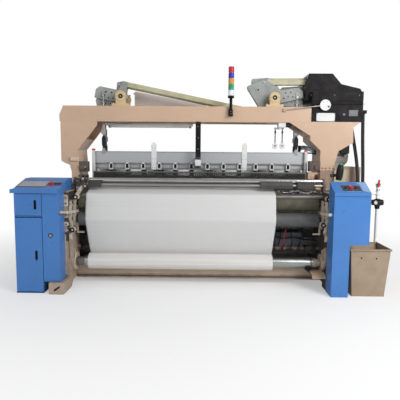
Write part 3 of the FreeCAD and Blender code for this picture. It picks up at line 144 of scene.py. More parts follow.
def layFloor():
    # one square on the floor whose shade runs out into white with the distance from the middle
    mesh = bpy.data.meshes.new("studioFloor")
    reach = studio["floorReach"]
    mesh.from_pydata([(-reach, -reach, 0), (reach, -reach, 0), (reach, reach, 0), (-reach, reach, 0)], [],
                     [(0, 1, 2, 3)])
    floor = placeInScene(mesh, "studioFloor")
    paint = bpy.data.materials.new("floorPaint")
    paint.use_nodes = True
    tree = paint.node_tree
    shader = tree.nodes["Principled BSDF"]
    feed(tree, shader, {"Base Color": (*studio["floorColour"], 1.0), "Roughness": 0.85, "Specular IOR Level": 0.15})
    length = addNode(tree, "VectorMath", {0: addNode(tree, "TexCoord")["Object"]}, operation="LENGTH")["Value"]
    fade = addNode(tree, "MapRange",
                   {"Value": length, "From Min": studio["fadeFrom"], "From Max": studio["fadeTo"],
                    "To Min": studio["fadeLeast"]}, interpolation_type="SMOOTHSTEP")["Result"]
    seen = compute(tree, "MULTIPLY", fade, addNode(tree, "LightPath")["Is Camera Ray"])
    glow = addNode(tree, "Emission", {"Color": white, "Strength": 1.0})[0]
    mix = addNode(tree, "MixShader", {"Fac": seen, 1: shader.outputs[0], 2: glow})[0]
    feed(tree, tree.nodes["Material Output"], {"Surface": mix})
    mesh.materials.append(paint)


aimCamera()
lightStudio()
layFloor()
print("camera, lamps and floor in place")


# finishes: each is a small tree of noise, ramps and bump on the object's own coordinates
finishes = {}


def startFinish(name, roughness, metallic=0.0):
    finishes[name] = bpy.data.materials.new(name)
    finishes[name].use_nodes = True
    tree = finishes[name].node_tree
    shader = tree.nodes["Principled BSDF"]
    feed(tree, shader, {"Roughness": roughness, "Metallic": metallic})
    return tree, shader


def objectNoise(tree, scale, detail=3.0, stretch=(1, 1, 1), source="Object"):
    mapping = addNode(tree, "Mapping", {"Vector": addNode(tree, "TexCoord")[source], "Scale": stretch})
    return addNode(tree, "TexNoise", {"Vector": mapping["Vector"], "Scale": scale, "Detail": detail})["Fac"]


def ramp(tree, value, shade, colour, start=0.3, end=0.7):
    node = tree.nodes.new("ShaderNodeValToRGB")
    for element, at, tone in zip(node.color_ramp.elements, (start, end), (shade, colour)):
        element.position = at
        element.color = (*tone, 1.0)
    feed(tree, node, {"Fac": value})
    return node.outputs["Color"]


def spread(tree, value, low, high, start=0.0, end=1.0):
    return addNode(tree, "MapRange",
                   {"Value": value, "From Min": start, "From Max": end, "To Min": low, "To Max": high})["Result"]


def roughen(tree, shader, value, low, high):
    feed(tree, shader, {"Roughness": spread(tree, value, low, min(1.0, high), 0.3, 0.7)})


def blendColours(tree, share, first, second):
    # the second colour over the first, by the share; inputs 6 and 7 are the node's two colours
    return addNode(tree, "Mix",
                   {"Factor": share, 6: first, 7: second if not isinstance(second, tuple) else (*second, 1.0)},
                   data_type="RGBA")[2]


def edgeMask(tree, width):
    # how far the rounded normal leans from the true one, which is only so near an edge
    rounded = addNode(tree, "Bevel", {"Radius": width}, samples=4)["Normal"]
    lean = addNode(tree, "VectorMath", {0: rounded, 1: addNode(tree, "NewGeometry")["Normal"]},
                   operation="DOT_PRODUCT")["Value"]
    return rounded, spread(tree, lean, 1.0, 0.0, 0.72, 0.99)


def addBump(tree, shader, height, distance, strength=0.5, **normal):
    bump = addNode(tree, "Bump", {"Distance": distance, "Strength": strength, "Height": height, **normal})
    feed(tree, shader, {"Normal": bump["Normal"]})


def enamel(name, colour, shade, roughness=0.42, peel=260.0, peelHeight=0.00012, wearAndSheen=None, wearAndSheenShare=0.35,
           coat=0.0, grime=None, grimeShare=0.0, gloss=1.0):
    # two near tones in soft patches, orange peel in the bump, paler or bare paint along the edges that is edge wear
    # and also a painted sheen
    tree, shader = startFinish(name, roughness)
    tone = ramp(tree, objectNoise(tree, 3.0, 4.0), shade, colour)
    if grime:
        tone = blendColours(tree, spread(tree, objectNoise(tree, 12.0, 6.0), 0.0, grimeShare, 0.42, 0.7), tone, grime)
    rounded, edges = edgeMask(tree, 0.004)
    # paler colour along the edges, in patches: edge wear, and also a painted sheen on the edges
    if wearAndSheen:
        edgeBreakup = spread(tree, objectNoise(tree, 40.0, 4.0), 0.0, wearAndSheenShare * 2.0, 0.35, 0.75)
        tone = blendColours(tree, compute(tree, "MULTIPLY", edges, edgeBreakup), tone, wearAndSheen)
    roughen(tree, shader, objectNoise(tree, 15.0), roughness * 0.8, roughness * 1.25)
    feed(tree, shader,
         {"Base Color": tone, "Specular IOR Level": 0.5 * gloss, "Coat Weight": coat, "Coat Roughness": 0.18})
    addBump(tree, shader, objectNoise(tree, peel, 2.0), peelHeight, Normal=rounded)


def metal(name, colour, shade, roughness=0.3, stretch=(1, 30, 30), grain=60.0, height=0.00008, stain=None,
          stainShare=0.0, metallic=1.0):
    # fine lines drawn out one way for the turning or grinding marks, soft darker stains over them
    tree, shader = startFinish(name, roughness, metallic)
    lines = objectNoise(tree, grain, 4.0, stretch)
    tone = ramp(tree, lines, shade, colour)
    if stain:
        tone = blendColours(tree, spread(tree, objectNoise(tree, 7.0, 5.0), 0.0, stainShare, 0.45, 0.75), tone, stain)
    feed(tree, shader, {"Base Color": tone})
    roughen(tree, shader, lines, roughness * 0.75, roughness * 1.3)
    addBump(tree, shader, lines, height, 0.6, Normal=edgeMask(tree, 0.002)[0])


def casting(name, colour, shade, dirt, roughness=0.6, dirtShare=0.6):
    # sand-cast skin: coarse grain in the bump, oil and dust lying in cloudy patches
    tree, shader = startFinish(name, roughness)
    tone = ramp(tree, objectNoise(tree, 6.0, 5.0), shade, colour, 0.32, 0.68)
    tone = blendColours(tree, spread(tree, objectNoise(tree, 13.0, 8.0), 0.0, dirtShare, 0.42, 0.68), tone, dirt)
    feed(tree, shader, {"Base Color": tone})
    roughen(tree, shader, objectNoise(tree, 22.0, 4.0), roughness * 0.7, roughness * 1.2)
    addBump(tree, shader, objectNoise(tree, 320.0, 5.0), 0.0005, 0.6, Normal=edgeMask(tree, 0.005)[0])


def threadFinish(name, colour, shade, across, along, roughness=0.8, height=0.0004, crease=0.0):
    # plain weave: two sets of sine ridges on the piece's own UV in metres, and slow changes of tone
    tree, shader = startFinish(name, roughness)
    coords = addNode(tree, "TexCoord")
    ridges = [addNode(tree, "TexWave",
                      {"Vector": coords["UV"], "Scale": count / 20.0, "Distortion": 0.6, "Detail": 1.0},
                      bands_direction=direction)["Fac"]
              for direction, count in (("X", across), ("Y", along)) if count > 0]
    weave = compute(tree, "MAXIMUM", *ridges) if len(ridges) > 1 else ridges[0]
    tone = ramp(tree, objectNoise(tree, 1.0, 5.0, (0.8, 60.0, 1.0), "UV"), shade, colour, 0.34, 0.62)
    tone = blendColours(tree, spread(tree, weave, 0.16, 0.0), tone, shade)
    feed(tree, shader, {"Base Color": tone, "Sheen Weight": 0.25, "Sheen Roughness": 0.4, "Specular IOR Level": 0.3})
    if crease > 0:
        weave = compute(tree, "MULTIPLY_ADD", objectNoise(tree, 2.2, 4.0, (3.0, 0.6, 1.0), "UV"), crease, weave)
    addBump(tree, shader, weave, height)


def plastic(name, colour, shade, roughness=0.35, glow=0.0, gloss=1.0):
    # one smooth tone with a fine grain in its gloss
    tree, shader = startFinish(name, roughness)
    tone = ramp(tree, objectNoise(tree, 14.0), shade, colour)
    roughen(tree, shader, objectNoise(tree, 60.0), roughness * 0.8, roughness * 1.3)
    feed(tree, shader, {"Base Color": tone, "Specular IOR Level": 0.5 * gloss, "Coat Weight": 0.2 * gloss})
    if glow > 0:
        feed(tree, shader, {"Emission Color": tone, "Emission Strength": glow})
    addBump(tree, shader, objectNoise(tree, 420.0, 2.0), 0.00006, Normal=edgeMask(tree, 0.0015)[0])


enamel("tanEnamel", (0.62, 0.43, 0.30), (0.57, 0.39, 0.27), 0.42, wearAndSheen=(0.72, 0.60, 0.49), grime=(0.30, 0.22, 0.16),
       grimeShare=0.10)
enamel("girderEnamel", (0.42, 0.33, 0.26), (0.36, 0.28, 0.21), 0.5, wearAndSheen=(0.5, 0.42, 0.35), grime=(0.10, 0.07, 0.055),
       grimeShare=0.5)
casting("frameCasting", (0.44, 0.34, 0.265), (0.39, 0.30, 0.23), (0.17, 0.13, 0.10), 0.6, 0.30)
casting("brownCasting", (0.12, 0.085, 0.07), (0.075, 0.05, 0.042), (0.20, 0.15, 0.11), 0.55, 0.5)
casting("valveCasting", (0.30, 0.29, 0.27), (0.22, 0.21, 0.20), (0.09, 0.08, 0.07), 0.5, 0.4)
casting("creamCasting", (0.72, 0.63, 0.52), (0.60, 0.51, 0.41), (0.14, 0.11, 0.09), 0.55, 0.5)
casting("darkCasting", (0.045, 0.042, 0.04), (0.028, 0.026, 0.025), (0.10, 0.085, 0.07), 0.5, 0.4)
enamel("ochreEnamel", (0.68, 0.50, 0.28), (0.60, 0.43, 0.23), 0.45, wearAndSheen=(0.8, 0.72, 0.6))
enamel("khakiEnamel", (0.54, 0.52, 0.34), (0.44, 0.42, 0.26), 0.42, wearAndSheen=(0.7, 0.68, 0.55), wearAndSheenShare=0.6,
       grime=(0.25, 0.2, 0.13), grimeShare=0.35)
enamel("leverEnamel", (0.34, 0.36, 0.34), (0.27, 0.29, 0.28), 0.45, wearAndSheen=(0.6, 0.6, 0.57), grime=(0.12, 0.11, 0.10),
       grimeShare=0.4)
enamel("paleEnamel", (0.78, 0.70, 0.66), (0.70, 0.62, 0.58), 0.5, wearAndSheen=(0.8, 0.8, 0.78))
enamel("postEnamel", (0.80, 0.80, 0.79), (0.66, 0.66, 0.65), 0.45, wearAndSheen=(0.95, 0.95, 0.95), grime=(0.3, 0.28, 0.26),
       grimeShare=0.2)
enamel("troughEnamel", (0.34, 0.39, 0.46), (0.26, 0.30, 0.36), 0.5, wearAndSheen=(0.5, 0.52, 0.55), grime=(0.07, 0.065, 0.06),
       grimeShare=0.6)
enamel("blueShade", (0.02, 0.07, 0.20), (0.015, 0.055, 0.16), 0.4)
# pale blue for a painted reflection on the side cover's corner
enamel("blueShine", (0.30, 0.45, 0.70), (0.20, 0.35, 0.62), 0.3, wearAndSheen=(0.8, 0.86, 0.95), wearAndSheenShare=0.6)
enamel("whiteEnamel", (0.86, 0.86, 0.85), (0.78, 0.78, 0.77), 0.4, wearAndSheen=(0.95, 0.95, 0.95))
enamel("blackEnamel", (0.015, 0.013, 0.014), (0.010, 0.009, 0.010), 0.42, peel=500.0, peelHeight=0.0003,
       wearAndSheen=(0.11, 0.105, 0.105), wearAndSheenShare=0.5, grime=(0.05, 0.047, 0.045), grimeShare=0.3, gloss=0.15)
enamel("blueEnamel", (0.052, 0.20, 0.53), (0.045, 0.18, 0.485), 0.34, wearAndSheen=(0.2, 0.36, 0.7), wearAndSheenShare=0.35,
       coat=0.25)
enamel("binEnamel", (0.38, 0.285, 0.20), (0.33, 0.245, 0.17), 0.55, wearAndSheen=(0.5, 0.42, 0.33), grime=(0.18, 0.13, 0.09),
       grimeShare=0.3)
# dark plate colour: the front backings' own dark, and painted shade on the frames' inner faces
enamel("darkPlateAndPaintedShade", (0.055, 0.045, 0.038), (0.032, 0.026, 0.022), 0.45, wearAndSheen=(0.12, 0.10, 0.085),
       grime=(0.11, 0.08, 0.06), grimeShare=0.5)
enamel("rustyRed", (0.13, 0.045, 0.035), (0.08, 0.03, 0.025), 0.5, grime=(0.05, 0.03, 0.025), grimeShare=0.4)
enamel("screenEnamel", (0.17, 0.19, 0.22), (0.10, 0.11, 0.13), 0.5, grime=(0.03, 0.028, 0.026), grimeShare=0.6)
plastic("plateGrey", (0.20, 0.20, 0.21), (0.14, 0.14, 0.15), 0.5, gloss=0.5)
enamel("brownEnamel", (0.36, 0.25, 0.175), (0.30, 0.205, 0.14), 0.5, grime=(0.14, 0.10, 0.07), grimeShare=0.3)
# pale tan for the painted highlight along the front girder's face
enamel("paintedHighlightTan", (0.60, 0.46, 0.34), (0.54, 0.41, 0.30), 0.5, wearAndSheen=(0.7, 0.58, 0.47), grime=(0.3, 0.22, 0.16),
       grimeShare=0.25)
enamel("paleTan", (0.70, 0.54, 0.42), (0.64, 0.49, 0.38), 0.45, wearAndSheen=(0.8, 0.7, 0.6))
enamel("paleGreenPanel", (0.50, 0.48, 0.34), (0.44, 0.42, 0.29), 0.45)
enamel("greyEnamel", (0.36, 0.34, 0.33), (0.29, 0.27, 0.27), 0.45, wearAndSheen=(0.45, 0.45, 0.44))
enamel("redEnamel", (0.50, 0.03, 0.03), (0.42, 0.02, 0.02), 0.38, wearAndSheen=(0.65, 0.2, 0.18))
metal("staveAluminium", (0.53, 0.55, 0.57), (0.47, 0.49, 0.51), 0.42, (1, 40, 40), 30.0, metallic=0.55)
metal("groundSteel", (0.47, 0.46, 0.44), (0.36, 0.35, 0.33), 0.34, (1, 30, 30))
metal("chrome", (0.62, 0.62, 0.61), (0.52, 0.52, 0.51), 0.2, (1, 20, 20), 40.0, 0.00003, stain=(0.33, 0.29, 0.23),
      stainShare=0.3)
metal("tubeSteel", (0.44, 0.46, 0.44), (0.34, 0.36, 0.34), 0.3, (1, 30, 30), 50.0, stain=(0.30, 0.28, 0.24),
      stainShare=0.25)
metal("castAluminium", (0.62, 0.62, 0.60), (0.5, 0.5, 0.49), 0.45, (1, 1, 1), 90.0, 0.0003, metallic=0.8)
metal("reedSteel", (0.045, 0.045, 0.048), (0.032, 0.032, 0.034), 0.5, (1, 1, 20), metallic=0.4)
metal("wireSteel", (0.045, 0.044, 0.046), (0.03, 0.029, 0.03), 0.4, (1, 1, 8), metallic=0.6)
metal("oiledSteel", (0.24, 0.225, 0.21), (0.16, 0.145, 0.135), 0.38, (1, 30, 30), stain=(0.07, 0.055, 0.04),
      stainShare=0.5, metallic=0.8)
metal("rustySteel", (0.12, 0.08, 0.06), (0.07, 0.045, 0.035), 0.5, (1, 30, 30), stain=(0.16, 0.075, 0.035),
      stainShare=0.6, metallic=0.5)
metal("brass", (0.62, 0.46, 0.22), (0.5, 0.36, 0.16), 0.35, (1, 1, 1))
casting("takeUpCover", (0.080, 0.073, 0.047), (0.060, 0.055, 0.034), (0.13, 0.118, 0.09), 0.75, 0.4)
casting("pressCover", (0.085, 0.088, 0.09), (0.062, 0.065, 0.066), (0.13, 0.13, 0.125), 0.7, 0.35)
threadFinish("wovenCloth", (0.635, 0.635, 0.625), (0.62, 0.62, 0.61), 900.0, 700.0, crease=0.8)
threadFinish("rolledCloth", (0.72, 0.70, 0.67), (0.62, 0.60, 0.57), 900.0, 700.0, crease=2.5)
threadFinish("warpYarn", (0.80, 0.79, 0.76), (0.70, 0.69, 0.66), 260.0, 0.0)
threadFinish("hoseRubber", (0.030, 0.029, 0.030), (0.020, 0.020, 0.021), 0.0, 150.0, 0.5, 0.002)
plastic("blackPlastic", (0.016, 0.016, 0.018), (0.010, 0.010, 0.011), 0.45, gloss=0.4)
plastic("whitePlastic", (0.82, 0.82, 0.81), (0.74, 0.74, 0.73), 0.4)
plastic("greyPlastic", (0.36, 0.36, 0.37), (0.3, 0.3, 0.31), 0.4)
plastic("lampGlass", (0.88, 0.89, 0.87), (0.80, 0.81, 0.79), 0.3, glow=0.05)
plastic("screenBezel", (0.05, 0.055, 0.075), (0.035, 0.04, 0.055), 0.4)
plastic("labelPlate", (0.05, 0.048, 0.055), (0.034, 0.033, 0.038), 0.35)
# the screen's pale lavender grey is a painted reflection of the bright room on its glass
plastic("screenPaintedReflection", (0.40, 0.39, 0.45), (0.33, 0.32, 0.38), 0.2)
plastic("redPlastic", (0.62, 0.035, 0.03), (0.52, 0.02, 0.02), 0.28)
plastic("whiteGloss", (0.74, 0.74, 0.73), (0.69, 0.69, 0.68), 0.4)
plastic("deepBlack", (0.008, 0.008, 0.010), (0.005, 0.005, 0.006), 0.55, gloss=0.15)
plastic("greenThread", (0.03, 0.42, 0.10), (0.02, 0.32, 0.07), 0.6)
plastic("paleBlueTube", (0.34, 0.46, 0.60), (0.26, 0.37, 0.50), 0.3)
plastic("lensRed", (0.62, 0.02, 0.05), (0.45, 0.01, 0.03), 0.2, glow=0.05)
plastic("lensBlue", (0.02, 0.05, 0.42), (0.01, 0.03, 0.30), 0.2, glow=0.05)
plastic("lensAmber", (0.72, 0.33, 0.06), (0.6, 0.25, 0.04), 0.2, glow=0.05)
plastic("lensGreen", (0.02, 0.36, 0.20), (0.01, 0.26, 0.14), 0.2, glow=0.05)
plastic("lensWhite", (0.80, 0.86, 0.84), (0.70, 0.76, 0.74), 0.2, glow=0.05)
print("finishes ready:", len(finishes))

nodeFinishes = {   # finish and the nodes that take it; those that a piece replaces later take it too
    "frameCasting": ["left_side_frame", "right_side_frame"],
    "girderEnamel": ["cross_girders"],
    "oiledSteel": ["breast_beam"],
    "tanEnamel": ["arch_beams", "arch_left_leg", "arch_right_leg"],
    "ochreEnamel": ["lever_bearings"],
    "blackEnamel": ["dobby_housing", "signal_post", "heald_guides"],
    "whiteEnamel": ["work_lamp", "alarm_disc", "air_stand"],
    "leverEnamel": ["left_levers_a", "left_levers_b", "right_levers_a", "right_levers_b"],
    "khakiEnamel": ["link_bars_a", "link_bars_b", "pull_bars_a", "pull_bars_b"],
    "darkCasting": ["sley", "main_shaft", "temples"],
    "takeUpCover": ["take_up_roller"],
    "pressCover": ["press_roller"],
    "tubeSteel": ["cloth_beam"],
    "chrome": ["temple_rails", "cover_lock"],
    "creamCasting": ["roller_brackets", "release_levers"],
    "groundSteel": ["back_rest_roller", "warp_stop_motion"],
    "castAluminium": ["warp_beam"],
    "blueEnamel": ["control_cabinet", "cabinet_door", "cabinet_hatch", "column_cover", "control_console",
                   "side_cover"],
    "screenPaintedReflection": ["console_screen"],
    "redPlastic": ["left_stop_button", "right_stop_button"],
    "blackPlastic": ["left_start_button", "left_jog_button", "right_start_button", "right_jog_button"],
    "binEnamel": ["waste_bin"],
    "redEnamel": ["air_valve_handle"],
    "greyEnamel": ["drive_motor"],
}
for finish, names in nodeFinishes.items():
    for name in names:
        nodes[name].data.materials.clear()
        nodes[name].data.materials.append(finishes[finish])
print("node finishes set")


# shapes are pairs of points in millimetres and groups of faces, and become pieces in metres
def boxes(centres, sizes):
    # the eight corners of each box lie half its size from its centre
    centres = np.atleast_2d(np.asarray(centres, float))
    sizes = np.broadcast_to(np.asarray(sizes, float), centres.shape)
    corner = np.array([[-1, -1, -1], [1, -1, -1], [1, 1, -1], [-1, 1, -1], [-1, -1, 1], [1, -1, 1], [1, 1, 1],
                       [-1, 1, 1]]) / 2
    quads = np.array([[0, 3, 2, 1], [4, 5, 6, 7], [0, 1, 5, 4], [1, 2, 6, 5], [2, 3, 7, 6], [3, 0, 4, 7]])
    points = (centres[:, None] + corner * sizes[:, None]).reshape(-1, 3)
    return points, [(np.arange(len(centres))[:, None, None] * 8 + quads).reshape(-1, 4)]


def spanBox(x, y, z):
    low, high = np.array([x, y, z], float).T
    return boxes([(low + high) / 2], [high - low])


def rods(starts, ends, radius, endRadius=None, sides=12):
    # a ring round each end of each line: centre plus radius times (cos t * side + sin t * other side)
    starts = np.atleast_2d(np.asarray(starts, float))
    ends = np.broadcast_to(np.atleast_2d(np.asarray(ends, float)), starts.shape)
    along = ends - starts
    along = along / np.linalg.norm(along, axis=1, keepdims=True)
    helper = np.where(np.abs(along[:, 2:3]) < 0.9, [[0.0, 0.0, 1.0]], [[1.0, 0.0, 0.0]])
    side = np.cross(along, helper)
    side = side / np.linalg.norm(side, axis=1, keepdims=True)
    other = np.cross(along, side)
    turn = 2 * np.pi * (np.arange(sides) + 0.5) / sides
    ring = np.cos(turn)[None, :, None] * side[:, None] + np.sin(turn)[None, :, None] * other[:, None]
    endRadius = radius if endRadius is None else endRadius
    points = np.concatenate([starts[:, None] + ring * radius, ends[:, None] + ring * endRadius], 1).reshape(-1, 3)
    step = np.arange(sides)
    following = (step + 1) % sides
    wall = np.stack([step, following, following + sides, step + sides], 1)
    base = np.arange(len(starts))[:, None, None] * 2 * sides
    caps = np.stack([step[::-1], step + sides])
    return points, [(base + wall).reshape(-1, 4), (base + caps).reshape(-1, sides)]


def lathe(profile, centre, axis="x", sides=48, closed=False):
    # each profile point (a, r) becomes a ring of radius r, a along the axis from the centre
    profile = np.asarray(profile, float)
    turn = 2 * np.pi * np.arange(sides) / sides
    along = np.repeat(profile[:, :1], sides, 1)
    first = profile[:, 1:] * np.cos(turn)
    second = profile[:, 1:] * np.sin(turn)
    order = {"x": (along, first, second), "y": (second, along, first), "z": (first, second, along)}[axis]
    points = (np.stack(order, 2) + np.asarray(centre, float)).reshape(-1, 3)
    return points, [np.roll(gridQuads(len(profile), sides, closed, True), -1, 1)]


def gridQuads(rows, columns, wrapRows, wrapColumns):
    # corners of each cell: its place, the next column's, the one across and the next row's
    row = np.arange(rows if wrapRows else rows - 1)[:, None]
    column = np.arange(columns if wrapColumns else columns - 1)[None]
    nextRow = (row + 1) % rows
    nextColumn = (column + 1) % columns
    return np.stack([row * columns + column, row * columns + nextColumn, nextRow * columns + nextColumn,
                     nextRow * columns + column], 2).reshape(-1, 4)


def surface(grid, wrapColumns=False):
    # quads between neighbours of a grid of points
    return grid.reshape(-1, 3), [gridQuads(*grid.shape[:2], False, wrapColumns)]


def slab(outline, axis, low, high):
    # an outline's two copies at the limits along the axis, with walls between them
    outline = np.asarray(outline, float)
    turned = np.roll(outline, -1, 0)
    area = np.sum(outline[:, 0] * turned[:, 1] - turned[:, 0] * outline[:, 1])
    if (area < 0) != (axis == "y"):
        outline = outline[::-1]
    count = len(outline)
    rings = []
    for at in (low, high):
        level = np.full((count, 1), float(at))
        parts = {"x": (level, outline[:, :1], outline[:, 1:]), "y": (outline[:, :1], level, outline[:, 1:]),
                 "z": (outline[:, :1], outline[:, 1:], level)}[axis]
        rings.append(np.hstack(parts))
    step = np.arange(count)
    following = (step + 1) % count
    wall = np.stack([step, following, following + count, step + count], 1)
    return np.vstack(rings), [wall, step[::-1][None], (step + count)[None]]


def pipe(path, radius, sides=10):
    # rings square to the path, each ring's frame carried on from the one before it
    path = np.asarray(path, float)
    along = np.gradient(path, axis=0)
    along = along / np.linalg.norm(along, axis=1, keepdims=True)
    side = np.cross(along[0], [0.3, 0.5, 0.81])
    sidesOf = []
    for direction in along:
        side = side - direction * (side @ direction)
        side = side / np.linalg.norm(side)
        sidesOf.append(side)
    sidesOf = np.array(sidesOf)
    other = np.cross(along, sidesOf)
    turn = 2 * np.pi * np.arange(sides) / sides
    radius = np.broadcast_to(np.asarray(radius, float), (len(path),))[:, None, None]
    ring = np.cos(turn)[None, :, None] * sidesOf[:, None] + np.sin(turn)[None, :, None] * other[:, None]
    points, faces = surface(path[:, None] + ring * radius, wrapColumns=True)
    last = (len(path) - 1) * sides
    step = np.arange(sides)
    return points, faces + [step[::-1][None], (step + last)[None]]


def curvePath(points):
    # a curve through the points in 12 steps each: every stretch is a cubic with its slopes from the neighbours
    points = np.asarray(points, float)
    padded = np.vstack([2 * points[0] - points[1], points, 2 * points[-1] - points[-2]])
    t = np.linspace(0, 1, 12, endpoint=False)[None, :, None]
    a, b, c, d = (padded[k:len(padded) - 3 + k, None] for k in range(4))
    curve = 0.5 * (2 * b + (c - a) * t + (2 * a - 5 * b + 4 * c - d) * t ** 2 + (3 * b - a - 3 * c + d) * t ** 3)
    return np.vstack([curve.reshape(-1, points.shape[1]), points[-1:]])


def together(*shapes):
    points = []
    faces = []
    start = 0
    for shapePoints, groups in shapes:
        points.append(shapePoints)
        faces += [group + start for group in groups]
        start += len(shapePoints)
    return np.vstack(points), faces


def moved(shape, offset):
    return shape[0] + np.asarray(offset, float), shape[1]


def turned(shape, place, angle, axis="y"):
    # turn about a line through the place, by degrees, the right-hand way round the axis
    angle = math.radians(angle)
    points = shape[0] - np.asarray(place, float)
    c, s = math.cos(angle), math.sin(angle)
    matrix = {"x": [[1, 0, 0], [0, c, -s], [0, s, c]], "y": [[c, 0, s], [0, 1, 0], [-s, 0, c]],
              "z": [[c, -s, 0], [s, c, 0], [0, 0, 1]]}[axis]
    return points @ np.array(matrix).T + np.asarray(place, float), shape[1]


def mirroredX(shape):
    return shape[0] * np.array([-1.0, 1.0, 1.0]), [group[:, ::-1] for group in shape[1]]


def addPiece(name, shape, finish, body="root", bevel=0.0, smooth=35.0, replaces=(), weld=False, uv=None, segments=1):
    # a list of shapes becomes one piece; lengths are in millimetres and smooth is an angle in degrees
    points, groups = together(*shape) if isinstance(shape, list) else shape
    mesh = bpy.data.meshes.new(name)
    mesh.from_pydata((points * 0.001).tolist(), [], [face for group in groups for face in group.tolist()])
    if uv is not None:
        layer = mesh.uv_layers.new(name="threadMap")
        corners = np.empty(len(mesh.loops), int)
        mesh.loops.foreach_get("vertex_index", corners)
        layer.data.foreach_set("uv", (np.asarray(uv)[corners] * 0.001).astype(np.float32).ravel())
    if weld:
        work = bmesh.new()
        work.from_mesh(mesh)
        bmesh.ops.remove_doubles(work, verts=work.verts, dist=1e-6)
        bmesh.ops.recalc_face_normals(work, faces=work.faces)
        work.to_mesh(mesh)
        work.free()
    mesh.polygons.foreach_set("use_smooth", np.ones(len(mesh.polygons), bool))
    mesh.set_sharp_from_angle(angle=math.radians(smooth))
    mesh.materials.append(finishes[finish])
    piece = placeInScene(mesh, name)
    if bevel > 0:
        soft = piece.modifiers.new("softEdges", "BEVEL")
        soft.width = bevel * 0.001
        soft.segments = segments
        soft.limit_method = "ANGLE"
        soft.angle_limit = math.radians(40)
    if body:
        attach(piece, body)
    if replaces:
        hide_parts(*replaces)
    return piece


def addBoxes(name, spans, finish, **more):
    # a piece of plain boxes, each given by its limits in x, y and z
    addPiece(name, [spanBox(*span) for span in spans], finish, **more)


# cloth: the web round the rollers, its roll, the fringe along its edges
clothWeb = {
    "left": -1130.0, "right": 775.0, "rollLeft": -1102.0, "rollRight": 745.0,
    "stations": [(-400.0, 985.0, 0.0), (-575.0, 905.0, 26.5), (-545.0, 835.0, 73.5), (-580.0, 672.0, 73.5),
                 (-620.0, 245.0, -81.5), (-624.0, 163.2, 0.0)],
    "columns": 150, "slack": 1.0, "thickness": 1.1, "hairs": 260,
    "taperTop": 700.0, "taperRun": 455.0, "taperPower": 1.3,   # how it narrows on its way down to the roll
    "freeTop": 590.0, "freeBottom": 300.0, "freeFade": 120.0,   # where it hangs free of the rollers
    "rollPlace": (-620.0, 245.0), "rollRadius": 79.3, "coreRadius": 57.2, "layers": 22, "rollSides": 72,
    "mapRadius": 80.0,   # the arc that the thread map of the roll is measured on
}


def roundMap(profile, sides, radius):
    # thread map of a turned roll: its own length one way, the arc at the radius the other way
    around = np.arange(sides) * 2 * np.pi * radius / sides
    return np.stack([np.repeat(profile[:, 0], sides), np.tile(around, len(profile))], 1)


def tangentPath(stations, step=4.0, runStep=26.0):
    # straight runs that touch circles of signed radius, positive where the centre is on the left, with the
    # arcs between them
    normals = []
    for (y0, z0, r0), (y1, z1, r1) in zip(stations[:-1], stations[1:]):
        ahead = np.array([y1 - y0, z1 - z0])
        distance = np.linalg.norm(ahead)
        ahead = ahead / distance
        share = (r1 - r0) / distance
        rest = math.sqrt(1 - share * share)
        normals.append(np.array([-ahead[1] * rest + ahead[0] * share, ahead[0] * rest + ahead[1] * share]))
    points = []
    for index, normal in enumerate(normals):
        start = np.array(stations[index][:2]) - normal * stations[index][2]
        end = np.array(stations[index + 1][:2]) - normal * stations[index + 1][2]
        count = max(2, int(np.linalg.norm(end - start) / runStep))
        points.append(start + (end - start) * np.linspace(0, 1, count, endpoint=False)[:, None])
        if index + 1 < len(normals):
            following = normals[index + 1]
            bend = math.atan2(normal[0] * following[1] - normal[1] * following[0], normal @ following)
            radius = stations[index + 1][2]
            count = max(2, int(abs(bend * radius) / step))
            angle = math.atan2(normal[1], normal[0]) + bend * np.linspace(0, 1, count, endpoint=False)
            arc = np.array(stations[index + 1][:2]) - radius * np.stack([np.cos(angle), np.sin(angle)], 1)
            points.append(arc)
        else:
            points.append(end[None])
    return np.vstack(points)


def runLengths(path):
    return np.concatenate([[0.0], np.cumsum(np.linalg.norm(np.diff(path, axis=0), axis=1))])


